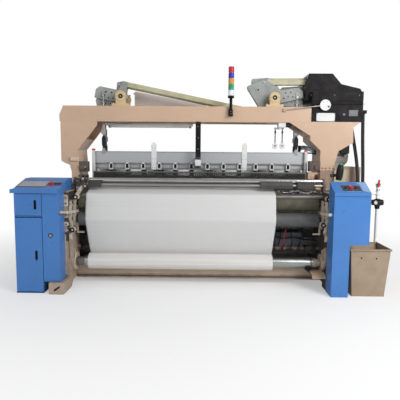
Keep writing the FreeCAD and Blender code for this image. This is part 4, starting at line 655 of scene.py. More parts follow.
def makeCloth():
    # points (x, y, z) with x across the web and (y, z) along the path, tapering to the roll,
    # plus small waves square to the path that fade out on the rollers
    path = tangentPath(clothWeb["stations"])
    length = runLengths(path)
    share = np.clip((clothWeb["taperTop"] - path[:, 1]) / clothWeb["taperRun"], 0.0, 1.0) ** clothWeb["taperPower"]
    left = clothWeb["left"] + (clothWeb["rollLeft"] - clothWeb["left"]) * share
    right = clothWeb["right"] + (clothWeb["rollRight"] - clothWeb["right"]) * share
    across = np.linspace(0, 1, clothWeb["columns"])
    x = left[:, None] + (right - left)[:, None] * across
    slope = np.gradient(path, axis=0)
    normal = np.stack([slope[:, 1], -slope[:, 0]], 1)
    normal = normal / np.linalg.norm(normal, axis=1, keepdims=True)
    fade = clothWeb["freeFade"]
    free = (np.clip((clothWeb["freeTop"] - path[:, 1]) / fade, 0.0, 1.0)
            * np.clip((path[:, 1] - clothWeb["freeBottom"]) / fade, 0.0, 1.0))
    wave = (np.sin(x / 61.0 + length[:, None] / 210.0) + 0.7 * np.sin(x / 27.0 - length[:, None] / 340.0)
            + 0.5 * np.sin(x / 143.0 + 1.7))
    lift = clothWeb["slack"] * free[:, None] * wave
    y = path[:, :1] + normal[:, :1] * lift
    z = path[:, 1:] + normal[:, 1:] * lift
    shape = surface(np.stack([x, y, z], 2))
    uv = np.stack([x, np.broadcast_to(length[:, None], x.shape)], 2).reshape(-1, 2)
    cloth = addPiece("wovenCloth", shape, "wovenCloth", uv=uv, smooth=60.0, replaces=["cloth"])
    wall = cloth.modifiers.new("clothThickness", "SOLIDIFY")
    wall.thickness = clothWeb["thickness"] * 0.001
    wall.offset = 0.0
    # fringe: short loose ends along both edges
    rng = np.random.default_rng(4)
    hairs = []
    count = clothWeb["hairs"]
    for side, edge in ((-1, left), (1, right)):
        at = rng.uniform(30.0, length[-1] - 90.0, count)
        y0 = np.interp(at, length, path[:, 0])
        z0 = np.interp(at, length, path[:, 1])
        x0 = np.interp(at, length, edge)
        start = np.stack([x0 - side * 1.5, y0, z0], 1)
        reach = rng.uniform(2.0, 7.0, count)
        end = start + np.stack([side * reach, rng.uniform(-1.2, 0.2, count), rng.uniform(-2.5, 1.0, count)], 1)
        hairs.append(rods(start, end, 0.35, 0.2, 3))
    fringe = addPiece("clothFringe", hairs, "rolledCloth")
    return float(length[-1])


def makeClothRoll():
    # a closed profile turned about the beam: the wound surface swells and dips a little along its length,
    # and every second layer stands back at the ends
    left, right, core = clothWeb["rollLeft"], clothWeb["rollRight"], clothWeb["coreRadius"]
    x = np.linspace(left, right, 120)
    swell = clothWeb["rollRadius"] + 0.45 * np.sin(x / 37.0) + 0.3 * np.sin(x / 11.0 + 1.0)
    swell[[0, -1]] -= 1.2
    layers = np.linspace(clothWeb["rollRadius"] - 1.3, core, clothWeb["layers"])
    dent = 1.4 * (np.arange(clothWeb["layers"]) % 2)
    profile = np.vstack([np.stack([x, swell], 1), np.stack([right + 0.3 - dent, layers], 1),
                         np.stack([left - 0.3 + dent[::-1], layers[::-1]], 1)])
    sides = clothWeb["rollSides"]
    roll = addPiece("rolledCloth", lathe(profile, (0, *clothWeb["rollPlace"]), "x", sides, True), "rolledCloth",
                    "cloth_beam", uv=roundMap(profile, sides, clothWeb["mapRadius"]), replaces=["cloth_roll"],
                    smooth=50.0)


clothLength = makeCloth()
makeClothRoll()
print("cloth length", round(clothLength))


# warp: the roll between the flanges, the yarns over the back rest and through the harness
warp = {"rollHalf": 1114.5, "rollPlace": (520.0, 430.0), "rollRadius": 289.0, "coreRadius": 86.5, "rollSides": 96,
        "yarnHalf": 1060.0, "yarns": 300, "yarnWidth": 1.7,
        "path": [(808.4, 480.6, 0.0), (650.0, 950.0, 71.5), (8.0, 985.0, 0.0)], "shed": 40.0, "line": 985.0,
        "fell": -400.0, "harness": (-100.0, -70.0, -40.0, -10.0), "mapRadius": 290.0}


def makeWarpRoll():
    # closed profile turned about the warp beam, with shallow lanes where the yarn lies a little lower
    x = np.linspace(-warp["rollHalf"], warp["rollHalf"], 160)
    swell = warp["rollRadius"] - 0.8 * (np.sin(x / 9.0) > 0.2) - 0.9 * np.cos(x / 350.0)
    profile = np.vstack([np.stack([x, swell], 1), [[x[-1], warp["coreRadius"]], [x[0], warp["coreRadius"]]]])
    sides = warp["rollSides"]
    roll = addPiece("warpRoll", lathe(profile, (0, *warp["rollPlace"]), "x", sides, True), "warpYarn", "warp_beam",
                    uv=roundMap(profile, sides, warp["mapRadius"]), replaces=["warp_roll"], smooth=50.0)


def yarnStrips(x, path, width, height):
    # one strip of four corners for each yarn, carried along the shared path at its own x
    corner = np.array([[-width / 2, -height / 2], [width / 2, -height / 2], [width / 2, height / 2],
                       [-width / 2, height / 2]])
    slope = np.gradient(path, axis=0)
    slope = slope / np.linalg.norm(slope, axis=1, keepdims=True)
    normal = np.stack([-slope[:, 1], slope[:, 0]], 1)
    rows = len(path)
    grid = np.empty((len(x), rows, 4, 3))
    grid[..., 0] = x[:, None, None] + corner[None, None, :, 0]
    grid[..., 1] = (path[:, :1] + normal[:, :1] * corner[:, 1])[None]
    grid[..., 2] = (path[:, 1:] + normal[:, 1:] * corner[:, 1])[None]
    row = np.arange(rows - 1)[:, None]
    column = np.arange(4)[None]
    wall = np.stack([row * 4 + column, (row + 1) * 4 + column, (row + 1) * 4 + (column + 1) % 4,
                     row * 4 + (column + 1) % 4], 2).reshape(-1, 4)
    caps = np.array([[0, 1, 2, 3], [rows * 4 - 1, rows * 4 - 2, rows * 4 - 3, rows * 4 - 4]])
    faces = np.vstack([wall, caps]) if (path[-1, 0] < path[0, 0]) else np.vstack([wall, caps])[:, ::-1]
    base = np.arange(len(x))[:, None, None] * rows * 4
    return grid.reshape(-1, 3), [(base + faces).reshape(-1, 4)]


def makeWarpYarns():
    x = np.linspace(-warp["yarnHalf"], warp["yarnHalf"], warp["yarns"])
    path = tangentPath(warp["path"], 14.0, 200.0)
    sheet = addPiece("warpYarns", yarnStrips(x, path, warp["yarnWidth"], 1.0), "warpYarn", replaces=["warp_sheet"],
                     smooth=80.0)
    # shed: every second yarn runs through the frames of set a, the others through set b
    for name, lift, picked, near, far in (("a", warp["shed"], x[0::2], *warp["harness"][0::2]),
                                          ("b", -warp["shed"], x[1::2], *warp["harness"][1::2])):
        body = "harness_" + name
        level = warp["line"] + lift
        rear = np.array([[8.0, 985.0], [far, level]])
        middle = np.array([[far, level], [near, level]])
        front = np.array([[near, level], [warp["fell"], 986.0]])
        for part, run in (("Rear", rear), ("Front", front)):
            run = run[0] + (run[1] - run[0]) * np.linspace(0, 1, 5)[:, None]
            piece = addPiece("shed" + part + "Yarns" + name.upper(), yarnStrips(picked, run, 1.5, 0.9), "warpYarn",
                             None, smooth=80.0)
            if part == "Rear":
                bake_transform(piece)
            else:
                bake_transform(piece)
        piece = addPiece("shedMiddleYarns" + name.upper(), yarnStrips(picked, middle, 1.5, 0.9), "warpYarn", body,
                         smooth=80.0)


makeWarpRoll()
makeWarpYarns()
print("warp made")


# heald frames: staves, rods, hooks, hangers and the heald wires
heald = {
    "half": 1190.0, "staveHeight": 133.0, "staveDistance": 195.0, "rodReach": 140.0, "hookPitch": 178.0,
    "hookCount": 12, "wires": 340, "trim": 26.0,   # how much shorter the hidden side of set b's staves is
    "leftHanger": -1057.0, "rightHanger": 1061.25, "leftPin": 1938.0, "rightPin": 1932.0,
}


def hangerParts(x, y, pin, top):
    eyeY = (y - 11.0, y - 5.0)
    middle = sum(eyeY) / 2
    half = 13.5
    steel = [spanBox((x - half - 6, x - half), eyeY, (pin - 30, pin + 18)),
             spanBox((x + half, x + half + 6), eyeY, (pin - 30, pin + 18)),
             spanBox((x - half - 6, x + half + 6), eyeY, (pin + 8.25, pin + 18)),
             spanBox((x - half - 6, x + half + 6), eyeY, (pin - 30, pin - 8.25)),
             rods((x, middle, pin - 32), (x, middle, top + 170), 4.0, sides=10),
             spanBox((x - 25, x + 25), (middle - 7, middle + 7), (top + 186, top + 236)),
             spanBox((x - 17, x + 17), (middle - 6, middle + 6), (top + 236, top + 300)),
             rods((x, middle, top + 26), (x, middle, top + 42), 5.0, sides=10),
             spanBox((x - 22, x + 22), (eyeY[0], y - 5.9), (top - 30, top + 12)),
             spanBox((x - 14, x + 14), (eyeY[0] + 1, y - 2), (top + 10, top + 30)),
             rods([(x - 12, eyeY[0] - 4, top - 9), (x + 12, eyeY[0] - 4, top - 9)],
                  [(x - 12, eyeY[0], top - 9), (x + 12, eyeY[0], top - 9)], 6.0, sides=6)]
    black = [slab([(x - 13, top + 52), (x + 13, top + 52), (x + 20, top + 72), (x + 20, top + 138),
                   (x + 12, top + 160), (x - 12, top + 160), (x - 20, top + 138), (x - 20, top + 72)], "y",
                  middle - 9, middle + 9), rods((x, middle, top + 40), (x, middle, top + 50), 10.5, sides=6),
             rods((x, middle, top + 158), (x, middle, top + 170), 10.5, sides=6)]
    return steel, black


def makeHealdFrames():
    half, reach, height = heald["half"], heald["staveDistance"], heald["staveHeight"]
    hooks = (np.arange(heald["hookCount"]) - (heald["hookCount"] - 1) / 2) * heald["hookPitch"]
    for name, indices, lift, trim in (("a", (0, 2), warp["shed"], 0.0), ("b", (1, 3), -warp["shed"], heald["trim"])):
        staves, steel, black, white, wires = [], [], [], [], []
        eye = warp["line"] + lift
        for index in indices:
            y = warp["harness"][index]
            for sign in (1, -1):
                inner = eye + sign * (reach + trim)
                outer = inner + sign * (height - trim)
                rod = eye + sign * heald["rodReach"]

                def level(base, first, second):
                    # limits of a part, measured from its base away from the eye
                    return sorted((base + sign * first, base + sign * second))

                staves.append(spanBox((-half, half), (y - 6, y + 6), sorted((inner, outer))))
                steel += [spanBox((-half + 4, half - 4), (y - 7.5, y - 5.5), level(inner, -1.0, 9.0)),
                          spanBox((-half + 4, half - 4), (y - 6.9, y - 5.5), level(outer, -11.0, -5.0)),
                          spanBox((-half + 40.5, half - 40.5), (y - 1.2, y + 1.2), level(rod, -10, 0))]
                sides = sorted((inner + sign * 14, rod - sign * 4))
                for x in hooks:
                    white += [spanBox((x - 24, x + 24), (y - 9, y - 6), level(inner, -4, 13)),
                              spanBox((x - 24, x - 15), (y - 9, y - 6), sides),
                              spanBox((x + 15, x + 24), (y - 9, y - 6), sides),
                              spanBox((x - 19, x + 19), (y - 8.5, y + 3.5), level(rod, 1.0, 9)),
                              spanBox((x - 19, x + 19), (y - 8.5, y - 1.8), level(rod, -12, 9))]
                    black.append(spanBox((x - 13, x + 13), (y - 8, y - 4),
                                         sorted((inner - sign * 2, rod + sign * 8))))
            for side in (-1, 1):
                staves.append(spanBox(sorted((side * half, side * (half - 40))), (y - 6, y + 6),
                                      (eye - reach, eye + reach)))
            # heald wires: two flat lengths, and an eye of four short ones between them
            x = np.linspace(-half + 62, half - 62, heald["wires"]) + (index - 1.5) * 1.9
            ones = np.ones_like(x)
            for low, high, width in ((-136.0, -14.0, 3.4), (14.0, 136.0, 3.4), (-14.0, -3.0, 3.9), (3.0, 14.0, 3.9)):
                centre = np.stack([x, y * ones, (eye + (low + high) / 2) * ones], 1)
                wires.append(boxes(centre, (width, 0.9, high - low)))
            for side in (-1.25, 1.25):
                wires.append(boxes(np.stack([x + side, y * ones, eye * ones], 1), (0.9, 0.9, 6.4)))
            for side in ("left", "right"):
                parts = hangerParts(heald[side + "Hanger"], y, heald[side + "Pin"] + lift, eye + reach + height)
                steel += parts[0]
                black += parts[1]
        body = "harness_" + name
        frames = addPiece("healdStaves" + name.upper(), staves, "staveAluminium", body, bevel=1.5,
                          replaces=["heald_frames_" + name])
        parts = addPiece("healdHooks" + name.upper(), steel, "groundSteel", body)
        for label, parts, finish in (("frameClips", white, "whitePlastic"), ("hangerBarrels", black, "blackPlastic"),
                                     ("healdWires", wires, "wireSteel")):
            addPiece(label + name.upper(), parts, finish, body)


makeHealdFrames()
print("heald frames made")


# reed: caps, dents and their binding on the sley
reedSizes = {"half": 1140.5, "bottom": 919.0, "top": 1140.0, "cap": 16.0, "dents": 820}


def makeReed():
    half = reedSizes["half"]
    x = np.linspace(-half + 6, half - 6, reedSizes["dents"])
    ones = np.ones_like(x)
    middle = (reedSizes["bottom"] + reedSizes["top"]) / 2
    dents = boxes(np.stack([x, -250.0 * ones, middle * ones], 1),
                  (1.9, 3.4, reedSizes["top"] - reedSizes["bottom"] - 2 * reedSizes["cap"] + 8))
    caps = together(spanBox((-half, half), (-257, -243),
                            (reedSizes["bottom"], reedSizes["bottom"] + 2 * reedSizes["cap"])),
                    spanBox((-half, half), (-257, -243), (reedSizes["top"] - reedSizes["cap"], reedSizes["top"])),
                    spanBox((-half, -half + 6), (-256, -244), (reedSizes["bottom"] + 20, reedSizes["top"] - 8)),
                    spanBox((half - 6, half), (-256, -244), (reedSizes["bottom"] + 20, reedSizes["top"] - 8)))
    reed = addPiece("reedCaps", caps, "oiledSteel", "sley", bevel=2.0, replaces=["reed"])
    piece = addPiece("reedDents", dents, "reedSteel", "sley")


makeReed()
print("reed made")


# air and cable hoses from the dobby down to the ledge
hoses = {   # metres
    "first": [(1.745, 0.181, 1.680), (1.782, 0.160, 1.480), (1.810, 0.060, 1.130), (1.810, 0.060, 0.940)],
    "second": [(1.822, 0.020, 1.790), (1.826, 0.020, 1.560), (1.863, 0.050, 1.130), (1.865, 0.050, 0.940)],
    "radius": 0.019,
}


def makeHose(name, points, replaces):
    line = bpy.data.curves.new(name, "CURVE")
    line.dimensions = "3D"
    spline = line.splines.new("NURBS")
    spline.points.add(len(points) - 1)
    for point, place in zip(spline.points, points):
        point.co = (*place, 1.0)
    spline.order_u = 3
    spline.use_endpoint_u = True
    spline.resolution_u = 24
    line.bevel_depth = hoses["radius"]
    line.bevel_resolution = 5
    line.use_fill_caps = True
    line.materials.append(finishes["hoseRubber"])
    hose = placeInScene(line, name)
    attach(hose, "root")
    if replaces:
        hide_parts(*replaces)


makeHose("firstHose", hoses["first"], ["air_hoses"])
makeHose("secondHose", hoses["second"], [])
print("hoses made")


# signal lamps: five ribbed lenses
signal = {"place": (330.0, -252.0), "radius": 31.0, "bottom": 1941.0, "pitch": 60.0,
          "order": ["lensWhite", "lensGreen", "lensAmber", "lensBlue", "lensRed"]}


def makeSignalLenses():
    # each lens is a turned profile whose radius swells and dips nine times between its two collars
    x, y = signal["place"]
    for number, finish in enumerate(signal["order"]):
        low = signal["bottom"] + signal["pitch"] * number
        rise = np.linspace(4.0, signal["pitch"] - 4.0, 55)
        ribs = signal["radius"] - 1.6 + 1.2 * np.abs(np.sin(np.pi * 9 * (rise - 4.0) / (signal["pitch"] - 8.0)))
        profile = np.vstack([[[0.0, 0.0], [0.0, 27.0], [3.5, 27.0]], np.stack([rise, ribs], 1),
                             [[signal["pitch"] - 3.5, 27.0], [signal["pitch"], 27.0], [signal["pitch"], 0.0]]])
        lens = addPiece("signalLens%d" % (number + 1), lathe(profile, (x, y, low), "z", 40), finish, weld=True,
                        replaces=["signal_lenses"] if number == 0 else ())


makeSignalLenses()
print("signal lamps made")


# small hardware that the sub-parts below share
def ring(centre, axis, inner, outer, low, high, sides=36):
    # a flat-ended tube: out along the large radius and back along the small one
    return lathe([(low, outer), (high, outer), (high, inner), (low, inner)], centre, axis, sides, True)


def bolts(places, direction, radius, height, sides=6):
    # heads that stand off their places along the direction, drawn in a little at the top
    places = np.atleast_2d(np.asarray(places, float))
    return rods(places, places + np.asarray(direction, float) * height, radius, radius * 0.92, sides)


def arcPoints(centre, radius, start, end, count):
    # centre plus radius times (cos, sin) of angles in degrees
    angle = np.radians(np.linspace(start, end, count))
    return np.stack([centre[0] + radius * np.cos(angle), centre[1] + radius * np.sin(angle)], 1)


corners = np.radians([45, 135, 225, 315])


def capsule(centre, width, height):
    # long round-ended outline, upright
    rise = (height - width) / 2
    return np.vstack([arcPoints((centre[0], centre[1] + rise), width / 2, 0, 180, 9),
                      arcPoints((centre[0], centre[1] - rise), width / 2, 180, 360, 9)])


# bearings and levers: bore rings, base bolts, pin heads and the holes in the lever plates, whose black discs are
# painted shade
gear = {"pivots": {"left": (-848.0, 1938.0), "right": (800.0, 1932.0)}, "faces": (-210.0, 140.0), "ringRadius": 54.0,
        "boreRadius": 25.0, "baseTop": 1859.0, "swing": {"left": -11.035, "right": 8.806},
        "holes": {"left": [(-220, -38), (-146, -35), (-98, -28), (-185, 24), (-124, 28)],
                  "right": [(112, -14), (160, 2), (212, -8), (140, 42), (196, 44), (-150, 120)]},
        "pins": {"left": (0.0, 147.0), "right": (-80.0, 188.0)}, "pitch": 30.0, "firstPlate": -100.0, "plate": 8.0}


def makeBearingFaces():
    pale = []
    dark = []
    steel = []
    front, back = gear["faces"]
    for x, z in gear["pivots"].values():
        for face, sign in ((front, -1), (back, 1)):
            low, high = sorted((face - sign * 1.0, face + sign * 5.0))
            pale.append(ring((x, 0, z), "y", gear["boreRadius"], gear["ringRadius"], low, high))
            # black disc in the bore: painted shade inside it; the thin bars below are the cap joints
            dark.append(rods((x, face - sign * 1.0, z), (x, face + sign * 1.2, z), gear["boreRadius"] + 1, sides=28))
            steel.append(rods((x, face, z), (x, face + sign * 3.0, z), 9.0, sides=18))
            low, high = sorted((face, face + sign * 5.6))
            dark.append(spanBox((x - 60, x - gear["boreRadius"]), (low, high), (z - 0.9, z + 0.9)))
            dark.append(spanBox((x + gear["boreRadius"], x + 60), (low, high), (z - 0.9, z + 0.9)))
        for y in (front + 25, back - 25):
            places = [(x - 78, y, gear["baseTop"]), (x + 78, y, gear["baseTop"])]
            steel.append(bolts(places, (0, 0, 1), 11.0, 9.0))
            steel.append(rods(places, np.array(places) + (0, 0, 2.5), 15.0, sides=20))
            caps = [(x - 46, y, z + 38), (x + 46, y, z + 38)]
            steel.append(bolts(caps, (0, 0, 1), 9.0, 14.0))
    addPiece("bearingRings", pale, "ochreEnamel", bevel=1.2)
    addPiece("bearingBoreShadeAndJoints", dark, "blackPlastic")
    addPiece("bearingBolts", steel, "groundSteel")


def makeLeverHardware():
    # places are drawn with the hanger arm level and turned with each lever to its place at rest
    for side, (pivotX, pivotZ) in gear["pivots"].items():
        for index in range(4):
            name = "ab"[index % 2]
            angle = math.radians(gear["swing"][side] * (1 if name == "a" else -1))
            y = gear["firstPlate"] + gear["pitch"] * index
            front = y - gear["plate"] / 2
            c, s = math.cos(angle), math.sin(angle)
            spots = np.array(gear["holes"][side], float)
            x = pivotX + spots[:, 0] * c - spots[:, 1] * s
            z = pivotZ + spots[:, 0] * s + spots[:, 1] * c
            ones = np.ones(len(x))
            # each hole is a black disc: painted shade where the hole is
            holes = rods(np.stack([x, (front + 0.5) * ones, z], 1), np.stack([x, (front - 0.5) * ones, z], 1), 10.5,
                         sides=20)
            collars = together(*[ring((a, 0, b), "y", 9.5, 14.0, front - 1.2, front + 0.5, 20) for a, b in zip(x, z)])
            pin = gear["pins"][side]
            pinX = pivotX + pin[0] * c - pin[1] * s
            pinZ = pivotZ + pin[0] * s + pin[1] * c
            heads = [rods((pinX, front + 0.5, pinZ), (pinX, front - 2.0, pinZ), 17.0, sides=24),
                     bolts((pinX, front - 2.0, pinZ), (0, -1, 0), 12.0, 6.0)]
            if index == 0:
                hub = [(pivotX + 37 * math.cos(t), front - 9.4, pivotZ + 37 * math.sin(t)) for t in corners]
                heads.append(bolts(hub, (0, -1, 0), 4.5, 3.0))
            body = side + "_levers_" + name
            number = str(index + 1)
            addPiece(side + "LeverHoleShade" + number, holes, "blackPlastic", body)
            addPiece(side + "LeverFittings" + number, [collars, *heads], "groundSteel", body)


makeBearingFaces()
makeLeverHardware()
print("bearings and lever fittings made")


# guards behind the levers, folded sheet on the rear beam
guards = {"plane": (143.0, 146.0), "foot": 1835.0, "left": [(-768.0, 2036.0), (74.0, 1884.0)],
          "right": [(912.0, 2090.0), (1124.0, 2104.0)]}


def makeGuards():
    low, high = guards["plane"]
    for side in ("left", "right"):
        (x0, z0), (x1, z1) = guards[side]
        if side == "left":
            outline = [(-752.0, guards["foot"]), (x1, guards["foot"]), (x1, z1), (x0 + 30, z0), (x0, z0 - 26),
                       (x0, 2000.0), (-752.0, 2000.0)]
        else:
            outline = [(x0, guards["foot"]), (x1, guards["foot"]), (x1, z1), (x0 + 20, z0), (x0, z0 - 20)]
        foot = spanBox((outline[0][0] + 4, x1 - 4), (low - 30, low + 1), (guards["foot"], guards["foot"] + 3))
        addPiece(side + "Guard", [slab(outline, "y", low, high), foot], "paleEnamel", bevel=1.0)
        across = np.linspace(outline[0][0] + 60, x1 - 60, 3)
        places = np.stack([across, np.full(3, low - 15), np.full(3, guards["foot"] + 3.0)], 1)
        addPiece(side + "GuardScrews", bolts(places, (0, 0, 1), 6.5, 4.0), "groundSteel")


makeGuards()
print("guards made")


# strip lamp: long diffuser with end caps under its reflector
lamp = {"span": (-1033.0, -96.0), "y": (24.0, 78.0), "bottom": 1620.0, "top": 1641.0}


def makeLamp():
    # the diffuser's section is half an ellipse, carried straight along the lamp
    x = np.linspace(lamp["span"][0] + 22, lamp["span"][1] - 22, 24)
    middle = sum(lamp["y"]) / 2
    half = (lamp["y"][1] - lamp["y"][0]) / 2 - 3
    turn = np.linspace(math.pi, 2 * math.pi, 15)
    y = middle + half * np.cos(turn)
    z = lamp["top"] + (lamp["top"] - lamp["bottom"]) * np.sin(turn)
    grid = np.empty((len(x), 16, 3))
    grid[:, :15, 1] = y
    grid[:, :15, 2] = z
    grid[:, 15, 1] = y[0]
    grid[:, 15, 2] = lamp["top"] + 0.5
    grid[:, :, 0] = x[:, None]
    points, faces = surface(grid, wrapColumns=True)
    addPiece("lampDiffuser", (points, [faces[0][:, ::-1]]), "lampGlass", weld=True)
    addPiece("lampEnds",
             [spanBox((end, end + 24), (lamp["y"][0] - 2, lamp["y"][1] + 2), (lamp["bottom"] - 3, lamp["top"] + 1))
              for end in (lamp["span"][0], lamp["span"][1] - 24)], "greyPlastic", bevel=3.0, segments=2)


makeLamp()
print("strip lamp made")


# harness guides: centre bar with its shoe, posts at the sides, white plates on the front frame
guides = {"centre": -14.0, "barWidth": 56.0, "barTop": 1670.0, "shoeTop": 1292.0, "shoeBottom": 1180.0,
          "front": -242.0, "back": -114.0, "postInner": 1150.0, "postWidth": 30.0, "postY": (-146.0, -120.0),
          "postBottom": 1036.0, "postTop": 1380.0, "plates": (-503.0, 495.0), "plateWidth": 58.0,
          "plateSpan": (1152.0, 1452.0)}


def makeGuides():
    x = guides["centre"]
    half = guides["barWidth"] / 2
    front = guides["front"]
    addPiece("centreBar",
             together(spanBox((x - half, x + half), (front, front + 22), (guides["shoeTop"] - 1, guides["barTop"])),
                      spanBox((x - half, x + half), (front + 1, front + 84),
                              (guides["barTop"] - 10, guides["barTop"] + 1)),
                      spanBox((x - half + 8, x + half - 8), (front - 3, front + 1),
                              (guides["shoeTop"] + 60, guides["barTop"] - 30))), "blackEnamel", bevel=2.0,
             replaces=["heald_guides"])
    shoe = [spanBox((x - half - 4, x + half + 4), (front, guides["back"]),
                    (guides["shoeTop"] - 26, guides["shoeTop"])),
            spanBox((x - half - 4, x + half + 4), (front, guides["back"]),
                    (guides["shoeBottom"], guides["shoeBottom"] + 26)),
            spanBox((x - half - 4, x + half + 4), (front, front + 24), (guides["shoeBottom"], guides["shoeTop"])),
            spanBox((x - 10, x + 10), (front + 20, guides["back"]), (guides["shoeBottom"], guides["shoeTop"]))]
    addPiece("centreShoe", shoe, "whiteGloss", bevel=2.0)
    screws = [(x + side * 14, front, z) for side in (-1, 1)
              for z in (guides["shoeTop"] - 14, guides["shoeBottom"] + 14)]
    screws += [(x, front - 3, z) for z in (1380.0, 1500.0, 1620.0)]
    addPiece("guideScrews", bolts(screws, (0, -1, 0), 6.0, 4.0), "groundSteel")
    white = []
    red = []
    feet = []
    for side, neck in ((-1, 1304.0), (1, 1300.0)):
        inner = side * guides["postInner"]
        outer = side * (guides["postInner"] + guides["postWidth"])
        span = sorted((inner, outer))
        white.append(spanBox(span, guides["postY"], (guides["postBottom"] - 1, guides["postTop"] - 16)))
        white.append(spanBox(sorted((inner + side * 8, outer - side * 8)),
                             (guides["postY"][0] - 4, guides["postY"][0] + 1),
                             (guides["postBottom"] + 20, guides["postTop"] - 40)))
        red.append(spanBox((span[0] - 2, span[1] + 2), (guides["postY"][0] - 3, guides["postY"][1] + 2),
                           (guides["postTop"] - 18, guides["postTop"])))
        feet.append(spanBox(sorted((inner, side * neck)), guides["postY"],
                            (guides["postBottom"] - 26, guides["postBottom"])))
        feet.append(spanBox(sorted((side * (neck - 60), side * neck)),
                            (guides["postY"][0] - 8, guides["postY"][1] + 8),
                            (guides["postBottom"] - 34, guides["postBottom"] + 6)))
    addPiece("sidePosts", white, "postEnamel", bevel=2.0)
    addPiece("sidePostCaps", red, "redPlastic", bevel=3.0, segments=2)
    addPiece("sidePostFeet", feet, "tanEnamel", bevel=2.0)
    plates = []
    marks = []
    for x in guides["plates"]:
        half = guides["plateWidth"] / 2
        low, high = guides["plateSpan"]
        outline = [(x - half, low), (x + half, low), (x + half, high - 24), (x + half - 16, high),
                   (x - half + 16, high), (x - half, high - 24)]
        plates.append(slab(outline, "y", -115.0, -109.6))
        for z in (low + 22, (low + high) / 2 - 30, high - 60):
            marks += [(x - half + 13, -115.0, z), (x + half - 13, -115.0, z)]
    addPiece("frameGuidePlates", plates, "whitePlastic", "harness_a", bevel=1.5)
    addPiece("frameGuideScrews", bolts(marks, (0, -1, 0), 4.5, 2.5, 12), "groundSteel", "harness_a")


makeGuides()
print("harness guides made")


# rails above the cloth: bright upper tube, darker lower tube, stands, end block of the weft insertion
rails = {"upper": (-470.0, 1057.0), "lower": (-500.0, 1004.0), "radius": 24.0, "half": 1262.0, "frameTop": 960.0,
         "lowerRadius": 14.5, "lowerRise": 9.0, "block": (-1258.0, -1118.0)}


def railTube(place, x0, x1, radius):
    # a closed tube end: small chamfers and a bore at both ends
    profile = [(x0, radius - 5), (x0, radius - 1.5), (x0 + 1.5, radius), (x1 - 1.5, radius), (x1, radius - 1.5),
               (x1, radius - 5), (x1 - 30, radius - 5), (x0 + 30, radius - 5)]
    return lathe(profile, (0, *place), "x", 40, True)


def makeRails():
    half = rails["half"]
    addPiece("upperRail", railTube(rails["upper"], -half, half, rails["radius"]), "chrome", replaces=["temple_rails"])
    addPiece("lowerRail",
             railTube((rails["lower"][0], rails["lower"][1] + rails["lowerRise"]), -half, half, rails["lowerRadius"]),
             "groundSteel")
    stands = []
    steel = []
    for side in (-1, 1):
        y0, z0 = rails["lower"]
        y1, z1 = rails["upper"]
        outline = np.vstack([[(y0 - 34, rails["frameTop"])], [(y0 - 34, z0 + 8)],
                             arcPoints((y0 - 2, z0 + 2), 32, 180, 110, 6), arcPoints((y1, z1), 30, 150, 20, 9),
                             [(y1 + 28, rails["frameTop"])]])
        low, high = sorted((side * half, side * (half + 24)))
        stands.append(slab(outline, "x", low, high))
        foot = sorted((side * (half + 22), side * (half + 66)))
        stands.append(spanBox(foot, (y0 - 30, y1 + 24), (rails["frameTop"], rails["frameTop"] + 14)))
        for y in (y0 - 14, y1 + 8):
            steel.append(bolts((side * (half + 46), y, rails["frameTop"] + 14), (0, 0, 1), 10.0, 8.0))
        for y, z in (rails["lower"], rails["upper"]):
            steel.append(rods((side * (half + 23), y, z), (side * (half + 27), y, z), 15.0, sides=24))
            steel.append(bolts((side * (half + 27), y, z), (side, 0, 0), 8.0, 6.0))
    addPiece("railStands", stands, "brownCasting", bevel=2.0)
    addPiece("railBolts", steel, "groundSteel")


def makeInsertionBlock():
    # cutter and nozzle block at the left selvage, on the two rails
    x0, x1 = rails["block"]
    y0, z0 = rails["lower"]
    y1, z1 = rails["upper"]
    dark = [spanBox((x0, x1 - 34), (y0 - 30, y1 - 26), (z0 - 10, z1 + 20)),
            spanBox((x0 + 6, x0 + 52), (y0 - 52, y0 - 28), (z0 - 24, z1 + 4)),
            spanBox((x0 + 58, x1 - 40), (y0 - 44, y0 - 28), (z0 + 4, z1 + 28)),
            turned(spanBox((x1 - 46, x1), (y0 - 38, y0 - 18), (z0 - 4, z0 + 14)), (x1 - 46, 0, z0), 14),
            turned(spanBox((x1 - 40, x1 - 6), (y0 - 34, y0 - 14), (z1 - 8, z1 + 12)), (x1 - 40, 0, z1), -18)]
    pale = [spanBox((x0 + 16, x0 + 70), (y0 - 60, y0 - 50), (z0 - 58, z0 - 14)),
            spanBox((x1 - 64, x1 - 30), (y0 - 50, y0 - 42), (z0 - 20, z0 + 2)),
            rods((x0 + 84, y0 - 46, z1 + 16), (x0 + 84, y0 - 60, z1 + 16), 11.0, sides=20)]
    steel = [rods((x1 - 18, y0 - 30, z0 + 20), (x1 + 26, y0 - 30, z0 + 8), 4.5, 2.6, 14),
             rods((x1 - 20, y0 - 26, z0 + 34), (x1 + 16, y0 - 26, z0 + 30), 6.0, 4.0, 14),
             bolts([(x0 + 28, y0 - 52, z1 - 8), (x0 + 28, y0 - 60, z0 - 26), (x0 + 58, y0 - 60, z0 - 46),
                    (x0 + 100, y0 - 44, z0 + 18)], (0, -1, 0), 7.0, 5.0)]
    addPiece("insertionBlock", dark, "darkCasting", bevel=3.0, segments=2)
    addPiece("insertionCovers", pale, "creamCasting", bevel=2.5, segments=2)
    addPiece("insertionNozzles", steel, "groundSteel")
    feeds = []
    for start, middle, end in (((x0 + 40, y1 - 20, z1 + 14), (x0 + 66, y1 + 20, z1 + 40),
                                (x0 + 10, y1 + 70, z1 - 40)),
                               ((x0 + 64, y1 - 20, z1 + 12), (x0 + 104, y1 + 30, z1 + 34),
                                (x0 + 30, y1 + 90, z1 - 60))):
        feeds.append(pipe(curvePath([start, middle, end]), 5.0, 10))
    addPiece("insertionFeeds", feeds, "blackPlastic")


